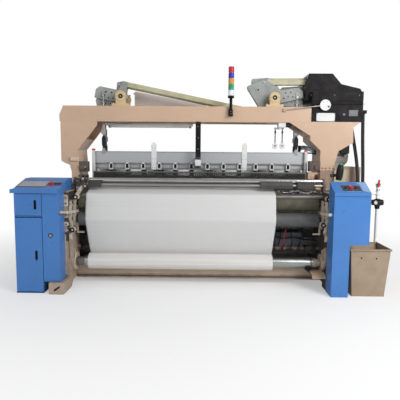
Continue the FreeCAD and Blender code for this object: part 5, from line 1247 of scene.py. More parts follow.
def makeSelvageWaste():
    # catch-cord waste at the right of the cloth: every strand is a sum of sines of odd, unrelated lengths,
    # so that the bundle tangles and no turn repeats
    rng = np.random.default_rng(11)
    t = np.linspace(0, 1, 200)
    x = 792.0 + 448.0 * t
    strands = {"whitePlastic": [], "blackPlastic": [], "pressCover": []}
    keys = list(strands)
    for number in range(30):
        phase = rng.uniform(0, 2 * math.pi, (2, 4))
        rate = rng.uniform(7.0, 75.0, (2, 4))
        size = rng.uniform(2.0, 7.5, (2, 4)) * np.minimum(1.0, 30.0 / rate)
        y = -556.0 + 0.6 * (size[0][:, None] * np.sin(rate[0][:, None] * t + phase[0][:, None])).sum(0)
        z = (951.0 + 4.0 * np.sin(3.1 * t + 0.5)
             + (size[1][:, None] * np.sin(rate[1][:, None] * t + phase[1][:, None])).sum(0))
        key = keys[0 if number % 5 == 0 else 2 if number % 5 == 3 else 1]
        strands[key].append(pipe(np.stack([x, y, z], 1), rng.uniform(1.1, 2.3), 5))
    for number, (finish, parts) in enumerate(strands.items()):
        addPiece("selvageWaste" + str(number + 1), parts, finish)
    hooks = [spanBox((at, at + 8), y, z) for y, z in (((-584, -528), (928, 934)), ((-584, -580), (928, 960)))
             for at in (800.0, 940.0, 1080.0, 1220.0)]
    tray = spanBox((790, 1256), (-586, -526), (924, 929))
    addPiece("selvageTray", [tray, *hooks], "oiledSteel", bevel=1.0)


makeRails()
makeInsertionBlock()
makeSelvageWaste()
print("rails, insertion block and selvage waste made")


# front castings on both side frames: boss rings, link arms and ribs round the roller ends
castings = {"inner": 1260.0, "takeUp": (-545.0, 835.0), "press": (-580.0, 672.0), "beam": clothWeb["rollPlace"],
            "bracket": 28.0}


def mirroredFor(side, shape):
    return shape if side > 0 else mirroredX(shape)


def makeRollerCastings():
    inner = castings["inner"]
    face = inner - castings["bracket"]
    for side, label in ((1, "right"), (-1, "left")):
        cream = []
        dark = []
        steel = []
        for (y, z), radius in ((castings["takeUp"], 44.0), (castings["press"], 40.0)):
            cream.append(ring((0, y, z), "x", 31.0, radius, face - 1.2, face + 1, 32))
            dark.append(ring((0, y, z), "x", 20.6, 31.5, face - 1.5, face + 1, 32))
        # hooked link in front of the rollers: an arc arm, its round ends and their black rings
        arm = np.vstack([arcPoints((-640, 760), 118, 128, 214, 12), arcPoints((-640, 760), 92, 214, 128, 12)])
        cream.append(slab(arm, "x", face + 6, inner + 1))
        for y, z, radius in ((-712.0, 848.0, 27.0), (-738.0, 694.0, 24.0), (-700.0, 602.0, 26.0)):
            cream.append(rods((face + 2, y, z), (inner + 1, y, z), radius, sides=28))
            dark.append(ring((0, y, z), "x", 9.5, 18.0, face - 1, face + 3, 28))
            steel.append(rods((face, y, z), (face + 6, y, z), 9.0, sides=20))
        link = [(-718, 690), (-756, 686), (-722, 600), (-716, 560), (-680, 548), (-676, 590), (-700, 640)]
        cream.append(slab(link, "x", face + 6, inner + 1))
        hook = np.vstack([arcPoints((-708, 520), 46, 100, 250, 10), arcPoints((-708, 520), 27, 250, 100, 10)])
        cream.append(slab(hook, "x", face + 6, inner + 1))
        addPiece(label + "LinkCastings", mirroredFor(side, together(*cream)), "creamCasting", bevel=2.5, segments=2)
        addPiece(label + "LinkRings", mirroredFor(side, together(*dark)), "blackPlastic")
        addPiece(label + "LinkBolts", mirroredFor(side, together(*steel)), "groundSteel")


def makeBeamEnds():
    # bearing flange on each frame, and the beam's own collars between its tube and the cradles
    inner = castings["inner"]
    y, z = castings["beam"]
    cream = []
    dark = []
    for side in (-1, 1):
        low, high = sorted((side * (inner - 34), side * (inner - 27)))
        cream.append(ring((0, y, z), "x", 66.0, 92.0, low, high, 48))
        places = [(side * (inner - 30), y + 79 * math.cos(t), z + 79 * math.sin(t))
                  for t in np.radians(np.arange(15, 360, 60))]
        dark.append(bolts(places, (-side, 0, 0), 6.5, 8.0))
    addPiece("beamFlanges", cream, "creamCasting", bevel=2.0)
    addPiece("beamFlangeBolts", dark, "groundSteel")
    addPiece("beamSleeveLeft",
             lathe([(-1222, 22), (-1222, 38), (-1218, 42), (-1146, 42), (-1143, 40), (-1143, 22)], (0, y, z), "x", 40,
                   True), "oiledSteel", "cloth_beam")
    addPiece("beamClampRing", ring((0, y, z), "x", 55.0, 60.0, 1126, 1141, 48), "oiledSteel", "cloth_beam")
    addPiece("beamTaperRight",
             lathe([(1156, 22), (1156, 49), (1170, 51), (1182, 45), (1224, 30), (1224, 22)], (0, y, z), "x", 40,
                   True), "creamCasting", "cloth_beam")


def makeLeftRibs():
    # curved ribs on the left frame's front: bands that run between two arcs, stepping inwards as they go down
    inner = castings["inner"]
    ribs = []
    for number, radius in enumerate((112.0, 150.0, 190.0)):
        outer = arcPoints((-560, 330), radius, 150, 262, 20)
        back = arcPoints((-560, 330), radius - 14, 262, 150, 20)
        ribs.append(slab(np.vstack([outer, back]), "x", -inner - 1, -inner + 30 - 7 * number))
    web = np.vstack([arcPoints((-560, 330), 186, 150, 262, 20), arcPoints((-560, 330), 104, 262, 150, 14)])
    ribs.append(slab(web, "x", -inner - 1, -inner + 8))
    pads = [spanBox((-1392, -1268), (-768, -759), (700, 900)), spanBox((-1380, -1276), (-772, -759), (560, 660)),
            spanBox((-1392, -1268), (-766, -759), (200, 470)), spanBox((-1340, -1290), (-776, -759), (140, 540))]
    ribs += pads
    addPiece("leftFrameRibs", ribs, "frameCasting", bevel=2.5, segments=2)
    addPiece("rightFrameRibs", mirroredX(together(*ribs)), "frameCasting", bevel=2.5, segments=2)


makeRollerCastings()
makeBeamEnds()
makeLeftRibs()
print("roller castings made")


# inside the machine, seen between the rollers: cross shaft with couplings, trough, hoses, stop pedal
inside = {"shaft": (-430.0, 352.0), "shaftRadius": 15.0, "reach": 1258.0, "troughY": (-350.0, -130.0),
          "troughZ": (262.0, 330.0),
          "collars": (-1180.0, -760.0, -300.0, 180.0, 640.0, 830.0, 905.0, 1010.0, 1085.0, 1165.0),
          "wideCollars": (830.0, 1010.0, 1165.0), "valves": (850.0, 930.0, 1010.0, 1090.0),
          "redHose": [(930.0, -470.0, 640.0), (905.0, -476.0, 560.0), (888.0, -462.0, 440.0), (868.0, -450.0, 372.0)]}


def makeInside():
    reach = inside["reach"]
    y, z = inside["shaft"]
    shaft = rods((-reach, y, z), (reach, y, z), inside["shaftRadius"], sides=24)
    collars = []
    steel = []
    for at in inside["collars"]:
        width = 26.0 if at in inside["wideCollars"] else 18.0
        collars.append(rods((at - width, y, z), (at + width, y, z), 27.0, sides=28))
        collars.append(rods((at - width - 8, y, z), (at - width, y, z), 19.0, 26.0, 28))
        collars.append(rods((at + width, y, z), (at + width + 8, y, z), 26.0, 19.0, 28))
        steel.append(bolts((at, y - 26, z), (0, -1, 0), 5.0, 6.0))
    for side in (-1, 1):
        steel.append(rods((side * (reach - 22), y, z), (side * (reach + 1), y, z), 34.0, sides=32))
    addPiece("crossShaft", shaft, "rustySteel")
    addPiece("crossShaftCollars", collars, "brownCasting")
    addPiece("crossShaftScrews", steel, "groundSteel")
    y0, y1 = inside["troughY"]
    z0, z1 = inside["troughZ"]
    # trough: a folded section, two slopes and a flat floor, carried along the machine
    outer = np.array([(y0, z1), (y0, z1 - 14), (y0 + 60, z0), (y1 - 60, z0), (y1, z1 - 14), (y1, z1)])
    section = np.vstack([outer, outer[::-1] + np.array([(-3, 0), (-3, 2), (-2, 3), (2, 3), (3, 2), (3, 0)])])
    addPiece("trough", slab(section, "x", -reach, reach), "troughEnamel")
    addPiece("rearScreen", spanBox((815, 1106), (-366, -362), (300, 508)), "screenEnamel", bevel=1.5)
    brackets = [spanBox((812, 820), (-364, -336), (296, 334)), spanBox((1100, 1108), (-364, -336), (296, 334))]
    for side in (-1, 1):
        brackets.append(spanBox(sorted((side * (reach - 30), side * (reach + 1))), (y0 - 4, y1 + 4),
                                (z1 - 8, z1 + 6)))
    addPiece("troughBrackets", brackets, "darkCasting", bevel=1.5)


def makeInsideHoses():
    # hoses and cables clipped along the front of the trough
    addPiece("redAirHose", pipe(curvePath(inside["redHose"]), 4.5, 10), "redPlastic")
    black = []
    for x, drop, lean in ((842.0, 0.0, 16.0), (1000.0, 24.0, -12.0), (1052.0, -18.0, 20.0), (1130.0, 30.0, -18.0)):
        black.append(pipe(curvePath([(x, -372, 334), (x + lean, -392, 420 + drop), (x + lean * 2, -380, 520 + drop),
                                     (x + lean, -352, 560 + drop)]), 3.6, 10))
    black.append(pipe(curvePath([(790, -396, 470), (890, -404, 452), (1000, -398, 462), (1120, -392, 440),
                                 (1250, -380, 430)]), 7.0, 10))
    addPiece("insideCables", black, "blackPlastic")
    valves = []
    for x in inside["valves"]:
        valves.append(spanBox((x - 26, x + 26), (-360, -300), (330, 392)))
        valves.append(rods((x, -330, 390), (x, -330, 426), 15.0, sides=20))
        valves.append(spanBox((x - 14, x + 14), (-374, -358), (342, 380)))
    addPiece("relayValves", valves, "valveCasting", bevel=2.0)
    tops = [(x, -330, 426) for x in inside["valves"]]
    addPiece("relayValveNuts", bolts(tops, (0, 0, 1), 11.0, 8.0), "brass")


def makePedal():
    # stop pedal on the girder at the right: a folded plate on its bracket
    addPiece("stopPedal",
                     slab([(-800, 128), (-800, 136), (-760, 168), (-640, 178), (-640, 170), (-756, 160)], "x", 1118,
                          1252), "tanEnamel", bevel=1.5)
    addPiece("pedalBracket",
             [slab([(-780, 128), (-640, 150), (-640, 168), (-752, 158)], "x", 1124, 1132),
              slab([(-780, 128), (-640, 150), (-640, 168), (-752, 158)], "x", 1238, 1246),
              spanBox((1108, 1250), (-650, -500), (150, 166))], "brownCasting", bevel=1.0)
    addPiece("pedalSwitch",
             [spanBox((1080, 1122), (-690, -560), (176, 214)), spanBox((1090, 1112), (-706, -690), (180, 206)),
              rods((1100, -706, 194), (1100, -724, 194), 9.0, sides=18)], "blackPlastic", bevel=2.0)


makeInside()
makeInsideHoses()
makePedal()
print("cross shaft, trough and hoses made")


# grips at the ends of the release levers
grips = {"place": (-916.0, 777.0), "left": (-1297.0, -1220.0), "right": (1220.0, 1253.0)}


def makeGrips():
    y, z = grips["place"]
    x0, x1 = grips["left"]
    profile = [(x0, 0), (x0, 6), (x0 + 4, 11), (x0 + 16, 13.5), (x0 + 30, 11), (x0 + 48, 10), (x1 - 6, 12), (x1, 12),
               (x1, 0)]
    addPiece("leftGrip", lathe(profile, (0, y, z), "x", 28), "ochreEnamel", "release_levers", weld=True)
    x0, x1 = grips["right"]
    profile = [(x0, 0), (x0, 10), (x0 + 8, 9), (x0 + 14, 13), (x0 + 22, 15), (x1 - 4, 13), (x1, 7), (x1, 0)]
    addPiece("rightGrip", lathe(profile, (0, y, z), "x", 28), "whitePlastic", "release_levers", weld=True)
    straps = []
    for x in (-1224.0, 1224.0):
        straps += [bolts([(x - 6.5, -880, 770), (x - 6.5, -620, 752)], (-1, 0, 0), 6.0, 3.0),
                   bolts((x + 5.5, -880, 770), (1, 0, 0), 6.0, 1.5)]
    addPiece("gripScrews", straps, "groundSteel", "release_levers")


makeGrips()


# cabinet: slot cups, lock ring and its collar, base strip, screen bezel, label plate round the button wells, keys,
# seams and screws
cabinet = {
    "front": -930.0, "handleX": -1522.0, "handles": ((848.0, 90.0), (368.0, 90.0)), "handleWidth": 24.0,
    "lock": (-1384.0, 558.0), "slope": (-938.0, 993.0, 310.0, 85.0),   # front edge in y and z, run and rise
    "screen": (-1576.0, 264.0, 152.0), "along": 150.0, "label": (-1470.0, -1308.0),
    "wells": [(-1412.0, 19.6), (-1368.0, 14.0), (-1336.0, 14.0)],   # place and radius of each button's well
}


def onSlope(shapes, slope):
    # shapes drawn flat, x across and y up the slope, laid on a console's slope
    front, edge, run, rise = slope
    angle = math.atan2(rise, run)
    points, faces = together(*shapes)
    c, s = math.cos(angle), math.sin(angle)
    return np.stack([points[:, 0], front + points[:, 1] * c - points[:, 2] * s,
                     edge + points[:, 1] * s + points[:, 2] * c], 1), faces


def wellPlates(x0, x1, along, half, wells):
    # a label plate in strips, which leaves out the square round each button's well
    edges = sorted([x0, x1] + [at + sign * radius for at, radius in wells for sign in (-1, 1)])
    strips = [spanBox(x, (along - half, along + half), (-1, 0.9)) for x in zip(edges[0::2], edges[1::2])]
    return strips + [spanBox((x0, x1), y, (-1, 0.88))
                     for y in ((along - half, along - 22), (along + 22, along + half))]


def rimStrips(x, y, outset, z):
    # four strips round a rectangle, as wide as the outset says: left, right, below and above
    left, right, below, above = outset
    across = (x[0] - left, x[1] + right)
    return [spanBox(across, (y[0] - below, y[0]), z), spanBox(across, (y[1], y[1] + above), z),
            spanBox((x[0] - left, x[0]), y, z), spanBox((x[1], x[1] + right), y, z)]


def makeCabinetDetails():
    front = cabinet["front"]
    x = cabinet["handleX"]
    for (z, height), body, label in zip(cabinet["handles"], ("cabinet_hatch", "cabinet_door"), ("hatch", "door")):
        width = cabinet["handleWidth"]
        addPiece(label + "Cup", slab(capsule((x, z), width, height), "y", front - 0.8, front + 9), "deepBlack", body)
        grip = capsule((x + 2, z), width * 0.4, height - 20)
        addPiece(label + "CupGrip", slab(grip, "y", front - 1.8, front + 2), "deepBlack", body, bevel=0.6)
    lx, lz = cabinet["lock"]
    addPiece("lockRing", ring((lx, 0, lz), "y", 10.0, 21.0, front - 3.5, front + 1, 40), "blackPlastic")
    addPiece("lockCollar", ring((lx, 0, lz), "y", 9.3, 12.0, front - 4.6, front + 1, 36), "chrome")
    addBoxes("cabinetBase",
             [((-1722, -1460), (front - 1.5, front + 4), (0, 12)),
              ((-1721.5, -1719.5), (front, front + 430), (0, 12))], "blueShade", bevel=1.0)
    sx, width, height = cabinet["screen"]
    along = cabinet["along"]
    bezel = rimStrips((sx - width / 2, sx + width / 2), (along - height / 2, along + height / 2), (14, 6, 12, 10),
                      (-1, 2.4))
    addPiece("screenBezel", onSlope(bezel, cabinet["slope"]), "screenBezel", bevel=0.8)
    x0, x1 = cabinet["label"]
    plates = wellPlates(x0 + 34, x1, along, 46, cabinet["wells"])
    addPiece("consoleLabel", onSlope(plates, cabinet["slope"]), "labelPlate")
    keys = [spanBox((x0 + 44 + step, x0 + 62 + step), (along - 42, along - 30), (0.8, 2.2))
            for step in (0, 33, 66, 99)]
    addPiece("consoleKeys", onSlope(keys, cabinet["slope"]), "redPlastic", bevel=0.6)
    addBoxes("columnSeams",
             [((-1459, -1457.6), (front - 0.6, front + 1), (112, 955)),
              ((-1459, -1301), (front - 0.6, front + 1), (119, 120.4))], "blueShade")
    screws = [(x, front, z) for x in (-1448, -1312) for z in (140.0, 930.0)]
    addPiece("columnScrews", bolts(screws, (0, -1, 0), 5.0, 1.0, 16), "blueEnamel")


makeCabinetDetails()
print("cabinet details made")


# side cover: button plate, a painted reflection on its corner, seams
cover = {"front": -962.0, "slope": (-962.0, 985.0, 182.0, 91.0), "along": 88.0, "label": (1340.0, 1512.0),
         "wells": [(1374.0, 14.0), (1424.0, 19.6), (1470.0, 14.0)]}


def makeCoverDetails():
    along = cover["along"]
    front = cover["front"]
    slope = cover["slope"]
    x0, x1 = cover["label"]
    addPiece("coverLabel", onSlope(wellPlates(x0, x1, along, 52, cover["wells"]), slope), "labelPlate")
    rim = rimStrips((x0, x1), (along - 52, along + 52), (3, 3, 3, 3), (-1, 1.6))
    addPiece("coverLabelFrame", onSlope(rim, slope), "groundSteel")
    lights = [rods((x, along + 38, 0.5), (x, along + 38, 3.0), 5.0, sides=18)
              for x in (1356.0, 1398.0, 1450.0, 1494.0)]
    addPiece("coverLamps", onSlope(lights, slope), "redPlastic")
    # pale blue patch on the corner of the slope: a painted reflection of the lights
    paintedReflection = slab([(1524, 40), (1584, 14), (1584, 196), (1496, 196), (1524, 150)], "z", -1, 0.8)
    addPiece("coverPaintedReflection", onSlope([paintedReflection], slope), "blueShine")
    addBoxes("coverSeam",
             [((1254.4, 1590.6), (front - 0.8, front + 2), (949.5, 953.5)),
              ((1254.2, 1257), (front, -770), (949.5, 953.5))], "blueShade")
    screws = [(x, front, z) for x, z in ((1268, 60.0), (1268, 480.0), (1268, 920.0), (1576, 520.0), (1576, 920.0))]
    addPiece("coverScrews", bolts(screws, (0, -1, 0), 5.0, 1.0, 16), "blueEnamel")


makeCoverDetails()
print("side cover details made")


# round bosses that face the weaver on the left and right castings, dark plates on the frames' inner faces as painted
# shade
bosses = {"left": [(-1191.0, -762.0, 905.0, 25.0), (-1226.0, -770.0, 584.0, 24.0)],
          "right": [(1258.0, -764.0, 905.0, 24.0), (1222.0, -740.0, 648.0, 25.0)], "inner": 1260.0}


def makeBosses():
    for side in ("left", "right"):
        sign = -1 if side == "left" else 1
        pale = []
        dark = []
        for number, (x, y, z, radius) in enumerate(bosses[side]):
            pale.append(rods((x, y + 62, z), (x, y + 2, z), radius, radius, 32))
            dark.append(ring((x, 0, z), "y", radius * 0.42, radius, y - 4, y + 3, 32))
            pale.append(rods((x, y + 3, z), (x, y - 6, z), radius * 0.4, sides=20))
            if number == 0 and side == "left":
                arm = [(y + 40, z - 16), (y + 4, z - 14), (y + 4, z + 16), (-560, 996), (-512, 1030), (-486, 1012),
                       (-520, 968), (y + 60, z + 2)]
                pale.append(slab(arm, "x", x - 11, x + 11))
            else:
                pale.append(spanBox(sorted((x, sign * (bosses["inner"] + 1))), (y + 40, y + 62), (z + 8, z + 24)))
        addPiece(side + "Bosses", pale, "creamCasting", bevel=2.5, segments=2)
        addPiece(side + "BossRings", dark, "blackPlastic")
    inner = bosses["inner"]
    # the inner plates are painted shade: the frames' inner faces and the right foot lie in shadow
    left = [spanBox((-inner - 0.5, -inner + 2.2), (-756, 470), (545, 955)),
            spanBox((-inner - 0.5, -inner + 2.2), (-420, 470), (120, 612))]
    right = [spanBox((inner - 2.2, inner + 0.5), (-752, 470), (120, 955)),
             spanBox((inner - 2.2, inner + 0.5), (-752, -628), (4, 122)),
             spanBox((inner - 2.2, inner + 0.5), (-628, 470), (48, 122))]
    addPiece("innerShadePlates", [*left, *right], "darkPlateAndPaintedShade")
    # front faces by the covers: dark backing with cream lugs on it
    addPiece("frontBackings",
             [spanBox(sorted((sign * 1260.5, sign * 1302)), (-763, -759), (300, 948)) for sign in (-1, 1)],
             "darkPlateAndPaintedShade", bevel=1.0)
    lugs = []
    for low, high, out in ((812, 930, 18), (700, 768, 12), (620, 664, 22), (566, 590, 10)):
        lug = slab([(-1300, low), (-1263, low + 8), (-1263, high - 14), (-1276, high), (-1300, high)], "y",
                   -763 - out, -762)
        lugs += [lug, mirroredX(lug)]
    addPiece("frontLugs", lugs, "creamCasting", bevel=3.0, segments=2)
    studs = [(sign * 1280, -763 - out, z) for sign in (-1, 1)
             for z, out in ((846, 18), (900, 18), (734, 12), (642, 22))]
    addPiece("frontStuds", bolts(studs, (0, -1, 0), 9.0, 7.0), "oiledSteel")


makeBosses()
print("front bosses and inner plates made")


# alarm disc on its arm: enamelled disc with a small sensor eye, tapering steel rod, foot on the beam
alarm = {"centre": (1328.0, 1854.0), "radius": 57.5, "y": (-252.0, -241.0), "foot": (903.0, -236.0, 1799.0)}


def makeAlarmDisc():
    x, z = alarm["centre"]
    low, high = alarm["y"]
    addPiece("alarmPlate",
             lathe([(low + 1.5, 0), (low + 1.5, 52.0), (low, 53.5), (low, 56.0), (low + 1.5, alarm["radius"]),
                    (high, alarm["radius"]), (high, 0)], (x, 0, z), "y", 64), "whiteGloss", weld=True,
             replaces=["alarm_disc"])
    addPiece("alarmEye",
             [rods((x + 34, low + 3, z - 16), (x + 34, low - 1.5, z - 16), 10.5, sides=24),
              rods((x - 22, low + 3, z + 30), (x - 22, low + 0.9, z + 30), 3.2, sides=12),
              rods((x + 20, low + 3, z + 32), (x + 20, low + 0.9, z + 32), 3.2, sides=12)], "screenBezel")
    fx, fy, fz = alarm["foot"]
    ahead = np.array([x - fx, 0.0, z - fz])
    ahead = ahead / np.linalg.norm(ahead)
    start = np.array([fx, fy, fz])
    addPiece("alarmArm",
             [rods(start, start + ahead * 250, 4.2, 6.0, 18),
              rods(start + ahead * 250, start + ahead * 372, 6.0, 8.5, 18),
              rods(start + ahead * 366, start + ahead * 392, 11.0, 11.0, 20),
              rods(start - ahead * 4, start + ahead * 16, 7.5, sides=18)], "groundSteel")
    addBoxes("alarmFoot",
             [((fx - 17, fx + 12), (fy - 6, -219), (fz - 14, fz + 14)),
              ((fx - 26, fx + 24), (-224, -219), (fz - 20, fz + 20))], "tanEnamel", bevel=2.0)
    # the lamp post's flat sleeve and its screws
    addBoxes("lampPostSleeve", [((315, 345), (-262, -234), (1790, 1936)), ((310, 350), (-264, -219), (1732, 1800))],
             "deepBlack", bevel=2.5, segments=2)
    addPiece("lampPostScrews",
             rods([(330, -262, 1755), (330, -262, 1781)], [(330, -267, 1755), (330, -267, 1781)], 5.0, sides=16),
             "chrome")


makeAlarmDisc()


# dobby housing: bare plates, round cap, screws, louvres and cover seams
dobbyTrim = {"front": -220.0, "white": ((1244.0, 1440.0), (1686.0, 1773.0)),
             "silver": ((1587.0, 1683.0), (1742.0, 1806.0)), "mark": (1536.0, 1759.0)}


def makeDobbyTrim():
    front = dobbyTrim["front"]
    (x0, x1), (z0, z1) = dobbyTrim["white"]
    addPiece("barePlate", spanBox((x0, x1), (front - 3, front + 1), (z0, z1)), "whiteGloss", bevel=1.5)
    (x0, x1), (z0, z1) = dobbyTrim["silver"]
    addPiece("silverPlate", spanBox((x0, x1), (front - 2, front + 1), (z0, z1)), "plateGrey", bevel=1.0)
    x, z = dobbyTrim["mark"]
    addPiece("roundCap",
             lathe([(front - 3.0, 0), (front - 3.0, 9), (front - 1.0, 14), (front + 1, 14), (front + 1, 0)],
                   (x, 0, z), "y", 32), "plateGrey", weld=True)
    (x0, x1), (z0, z1) = dobbyTrim["white"]
    screws = [(x, front - 3, z) for z in (z1 - 8, z0 + 8) for x in (x0 + 8, x1 - 8)]
    screws += [(x, front, z) for x, z in ((1180.0, 1720.0), (1180.0, 1960.0), (1690.0, 1960.0), (1430.0, 1960.0))]
    addPiece("dobbyScrews", bolts(screws, (0, -1, 0), 4.5, 2.5, 14), "oiledSteel")
    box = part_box("dobby_housing")
    backY = box[1][1] * 1000
    addPiece("dobbyLouvres",
             [spanBox((1300, 1640), (backY - 1, backY + 4), (z, z + 9)) for z in np.arange(1740.0, 1900.0, 22.0)],
             "blackEnamel", bevel=2.0)
    # ledges where the front panel, the sloped cap and the side panel meet
    addBoxes("dobbySeams",
             [((1192, 1752), (front - 2.5, front + 1), (1866, 1869)),
              ((1192, 1195), (front - 2, front + 1), (1684, 1980))], "deepBlack")


makeDobbyTrim()
print("alarm disc and housing trim made")


# spreading gear above the right end of the harness: bracket, rods with cams, turnbuckle, air tubes
spreader = {"bracket": ((846.0, 924.0), (-208.0, -112.0), (1619.0, 1671.0)), "rods": (826.0, 903.0), "y": -122.0}


def makeSpreader():
    bx, by, bz = spreader["bracket"]
    y = spreader["y"]
    white = [spanBox(bx, by, bz), spanBox((812, 918), (y - 8, y + 8), (1604, 1621))]
    for x in spreader["rods"]:
        profile = np.vstack([arcPoints((x, 1425), 29, -40, 220, 16), [(x - 18, 1392), (x + 18, 1392)]])
        white.append(slab(profile, "y", y - 7, y + 7))
    addPiece("spreaderCams", white, "whiteGloss", bevel=2.0)
    black = [rods((x, y, 1448), (x, y, 1606), 5.5, sides=14) for x in spreader["rods"]]
    black += [rods((x, y - 10, 1425), (x, y - 6, 1425), 8.0, sides=18) for x in spreader["rods"]]
    black += [spanBox((x - 9, x + 9), (y - 7, y + 7), (1560, 1584)) for x in spreader["rods"]]
    black.append(spanBox((924, 990), (-200, -118), (1624, 1671)))
    black.append(spanBox((936, 978), (-206, -199), (1632, 1662)))
    addPiece("spreaderRods", black, "blackPlastic", bevel=1.0)
    addPiece("spreaderGusset",
             slab([(bx[0] + 4, 1619), (bx[1] - 30, 1619), (bx[0] + 12, 1596)], "y", by[0] + 20, by[1] - 20),
             "whiteGloss", bevel=1.0)


def makeAirTubes():
    # short fixed tubes that cross from the right leg's valve strip to the harness end
    tubes = []
    for lift, sway in ((0, 0), (16, 10), (30, -8), (44, 6)):
        tubes.append(pipe(curvePath([(1130, 60 + sway, 1372 + lift), (1170, 40, 1392 + lift * 0.8),
                                     (1230, 10 + sway, 1376 + lift * 0.9), (1296, -10, 1352 + lift)]), 6.0, 10))
    addPiece("blueTubes", tubes, "paleBlueTube")
    addBoxes("valveStrip",
             [((1120, 1142), (36, 84), (1356, 1432)), ((1142, 1300), (60, 72), (1340, 1356)),
              ((1288, 1301), (-24, 84), (1330, 1412))], "blackPlastic", bevel=2.0)


makeSpreader()
makeAirTubes()
print("spreading gear made")


# right leg and what stands behind it: flange, bolts, weft feeder, panel, motor fins and terminal box
rightSide = {"face": -240.0, "flange": (1172.0, 1196.0), "neck": (1300.0, 1452.0)}


def makeRightSide():
    face = rightSide["face"]
    x0, x1 = rightSide["neck"]
    z0, z1 = rightSide["flange"]
    addBoxes("legFlange",
             [((x0 - 6, x1 + 6), (face - 5, face + 1), (z0 + 13, z1)),
              ((x0 - 6, x1 + 6), (face - 5, face + 1), (z0 - 12, z0 + 10))], "tanEnamel", bevel=2.0)
    addPiece("legLowerPlate", spanBox((x0 - 0.5, x1 + 0.5), (face - 1.5, face + 1), (965, z0 - 11)), "brownEnamel",
             bevel=1.0)
    places = [(x, face - 5, z) for x in (x0 + 16, x0 + 56, x1 - 56, x1 - 16) for z in (z0 - 1, z1 - 5)]
    addPiece("legFlangeBolts", bolts(places, (0, -1, 0), 6.0, 4.0), "oiledSteel")
    addBoxes("leftNeckPlate",
             [((-1390, -1298), (face - 4, face + 1), (1245, 1290)),
              ((-1384, -1304), (face - 3, face + 1), (1010, 1060))], "paleTan", bevel=2.0)
    addBoxes("leftTerminalBoxes",
             [((-1306, -1206), (-222, -150), (1128, 1240)), ((-1306, -1214), (-236, -160), (1000, 1096)),
              ((-1300, -1240), (-244, -220), (1150, 1204))], "brownCasting", bevel=4.0, segments=2)
    addBoxes("rightTerminalBoxes",
             [((1184, 1306), (-222, -150), (1150, 1262)), ((1240, 1300), (-236, -220), (1168, 1214))], "brownCasting",
             bevel=4.0, segments=2)
    addBoxes("rightInnerBoxes",
             [((1178, 1304), (-206, -150), (1000, 1142)), ((1212, 1250), (-216, -204), (1030, 1110))], "tanEnamel",
             bevel=4.0, segments=2)
    addPiece("rightClamp",
             [spanBox((1262, 1290), (-262, -204), (1020, 1120)),
              rods((1276, -262, 1090), (1276, -276, 1090), 10.0, sides=20)], "rustyRed", bevel=3.0, segments=2)
    addPiece("leftTerminalKnobs",
             rods([(-1230, -222, 1180), (-1236, -236, 1040)], [(-1230, -246, 1180), (-1236, -262, 1040)], 14.0, 11.0,
                  24), "groundSteel")
    # weft feeder: a turned drum leaning on the leg, green thread on its nose
    drum = lathe([(-80, 0), (-80, 22), (-72, 31), (-30, 37), (40, 37), (62, 32), (84, 26), (88, 0)], (0, 0, 0), "z",
                 40)
    drum = moved(turned(drum, (0, 0, 0), 6, "y"), (1494, -292, 1142))
    addPiece("weftFeeder", drum, "blackPlastic", weld=True)
    addPiece("feederThread",
             moved(lathe([(0, 0), (0, 24), (10, 22), (16, 12), (18, 0)], (0, 0, 0), "z", 32), (1503, -292, 1228)),
             "greenThread", weld=True)
    addBoxes("feederBracket",
             [((1410, 1480), (-252, -238), (1096, 1128)), ((1462, 1484), (-276, -240), (1100, 1124))], "darkCasting",
             bevel=2.0)
    # pale panel of the drive box and its edge
    addPiece("drivePanel", spanBox((1560, 1722), (172, 181), (1010, 1156)), "paleGreenPanel", bevel=2.0)
    addBoxes("drivePanelEdge", [((1722, 1740), (170, 181), (1000, 1160)), ((1452, 1562), (173, 181), (1150, 1166))],
             "tanEnamel", bevel=2.0)


def makeMotor():
    low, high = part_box("drive_motor")
    y = (low[1] + high[1]) * 500
    z = (low[2] * 1000 + high[2] * 1000) / 2 + 12
    x0 = low[0] * 1000 + 26
    x1 = high[0] * 1000 - 40
    fin = spanBox((x0, x1), (-2.2, 2.2), (60, 83))
    addPiece("motorFins",
             [moved(turned(fin, (0, 0, 0), 90 - angle, "x"), (0, y, z)) for angle in np.arange(0, 360, 15.0)],
             "greyEnamel")
    addPiece("motorCowl", ring((0, y, z), "x", 40.0, 86.0, x1 - 6, x1 + 44, 40), "greyEnamel", bevel=2.0)
    addPiece("terminalBox",
             [spanBox((1640, 1730), (176, 256), (1352, 1436)), spanBox((1634, 1736), (168, 180), (1346, 1442)),
              rods((1652, 190, 1340), (1652, 190, 1354), 13.0, sides=20),
              rods((1700, 190, 1334), (1700, 190, 1354), 16.0, sides=20)], "blackPlastic", bevel=4.0, segments=2)
    addPiece("terminalNeck", spanBox((1600, 1652), (206, 300), (1340, 1372)), "greyEnamel", bevel=3.0)


makeRightSide()
makeMotor()
print("right side made")


# bin: sheet-metal details on its leaning front, a curved flap inside
binTrim = {"holes": ((1532.0, 375.0), (1672.0, 371.0)), "fold": (1478.0, 1694.0, 264.0), "top": -950.0, "lean": 30.0,
           "height": 460.0}


def binFront(z):
    # the front leans evenly: its place in y is the rim's, plus the lean's share of the drop
    return binTrim["top"] + binTrim["lean"] * (1 - z / binTrim["height"])


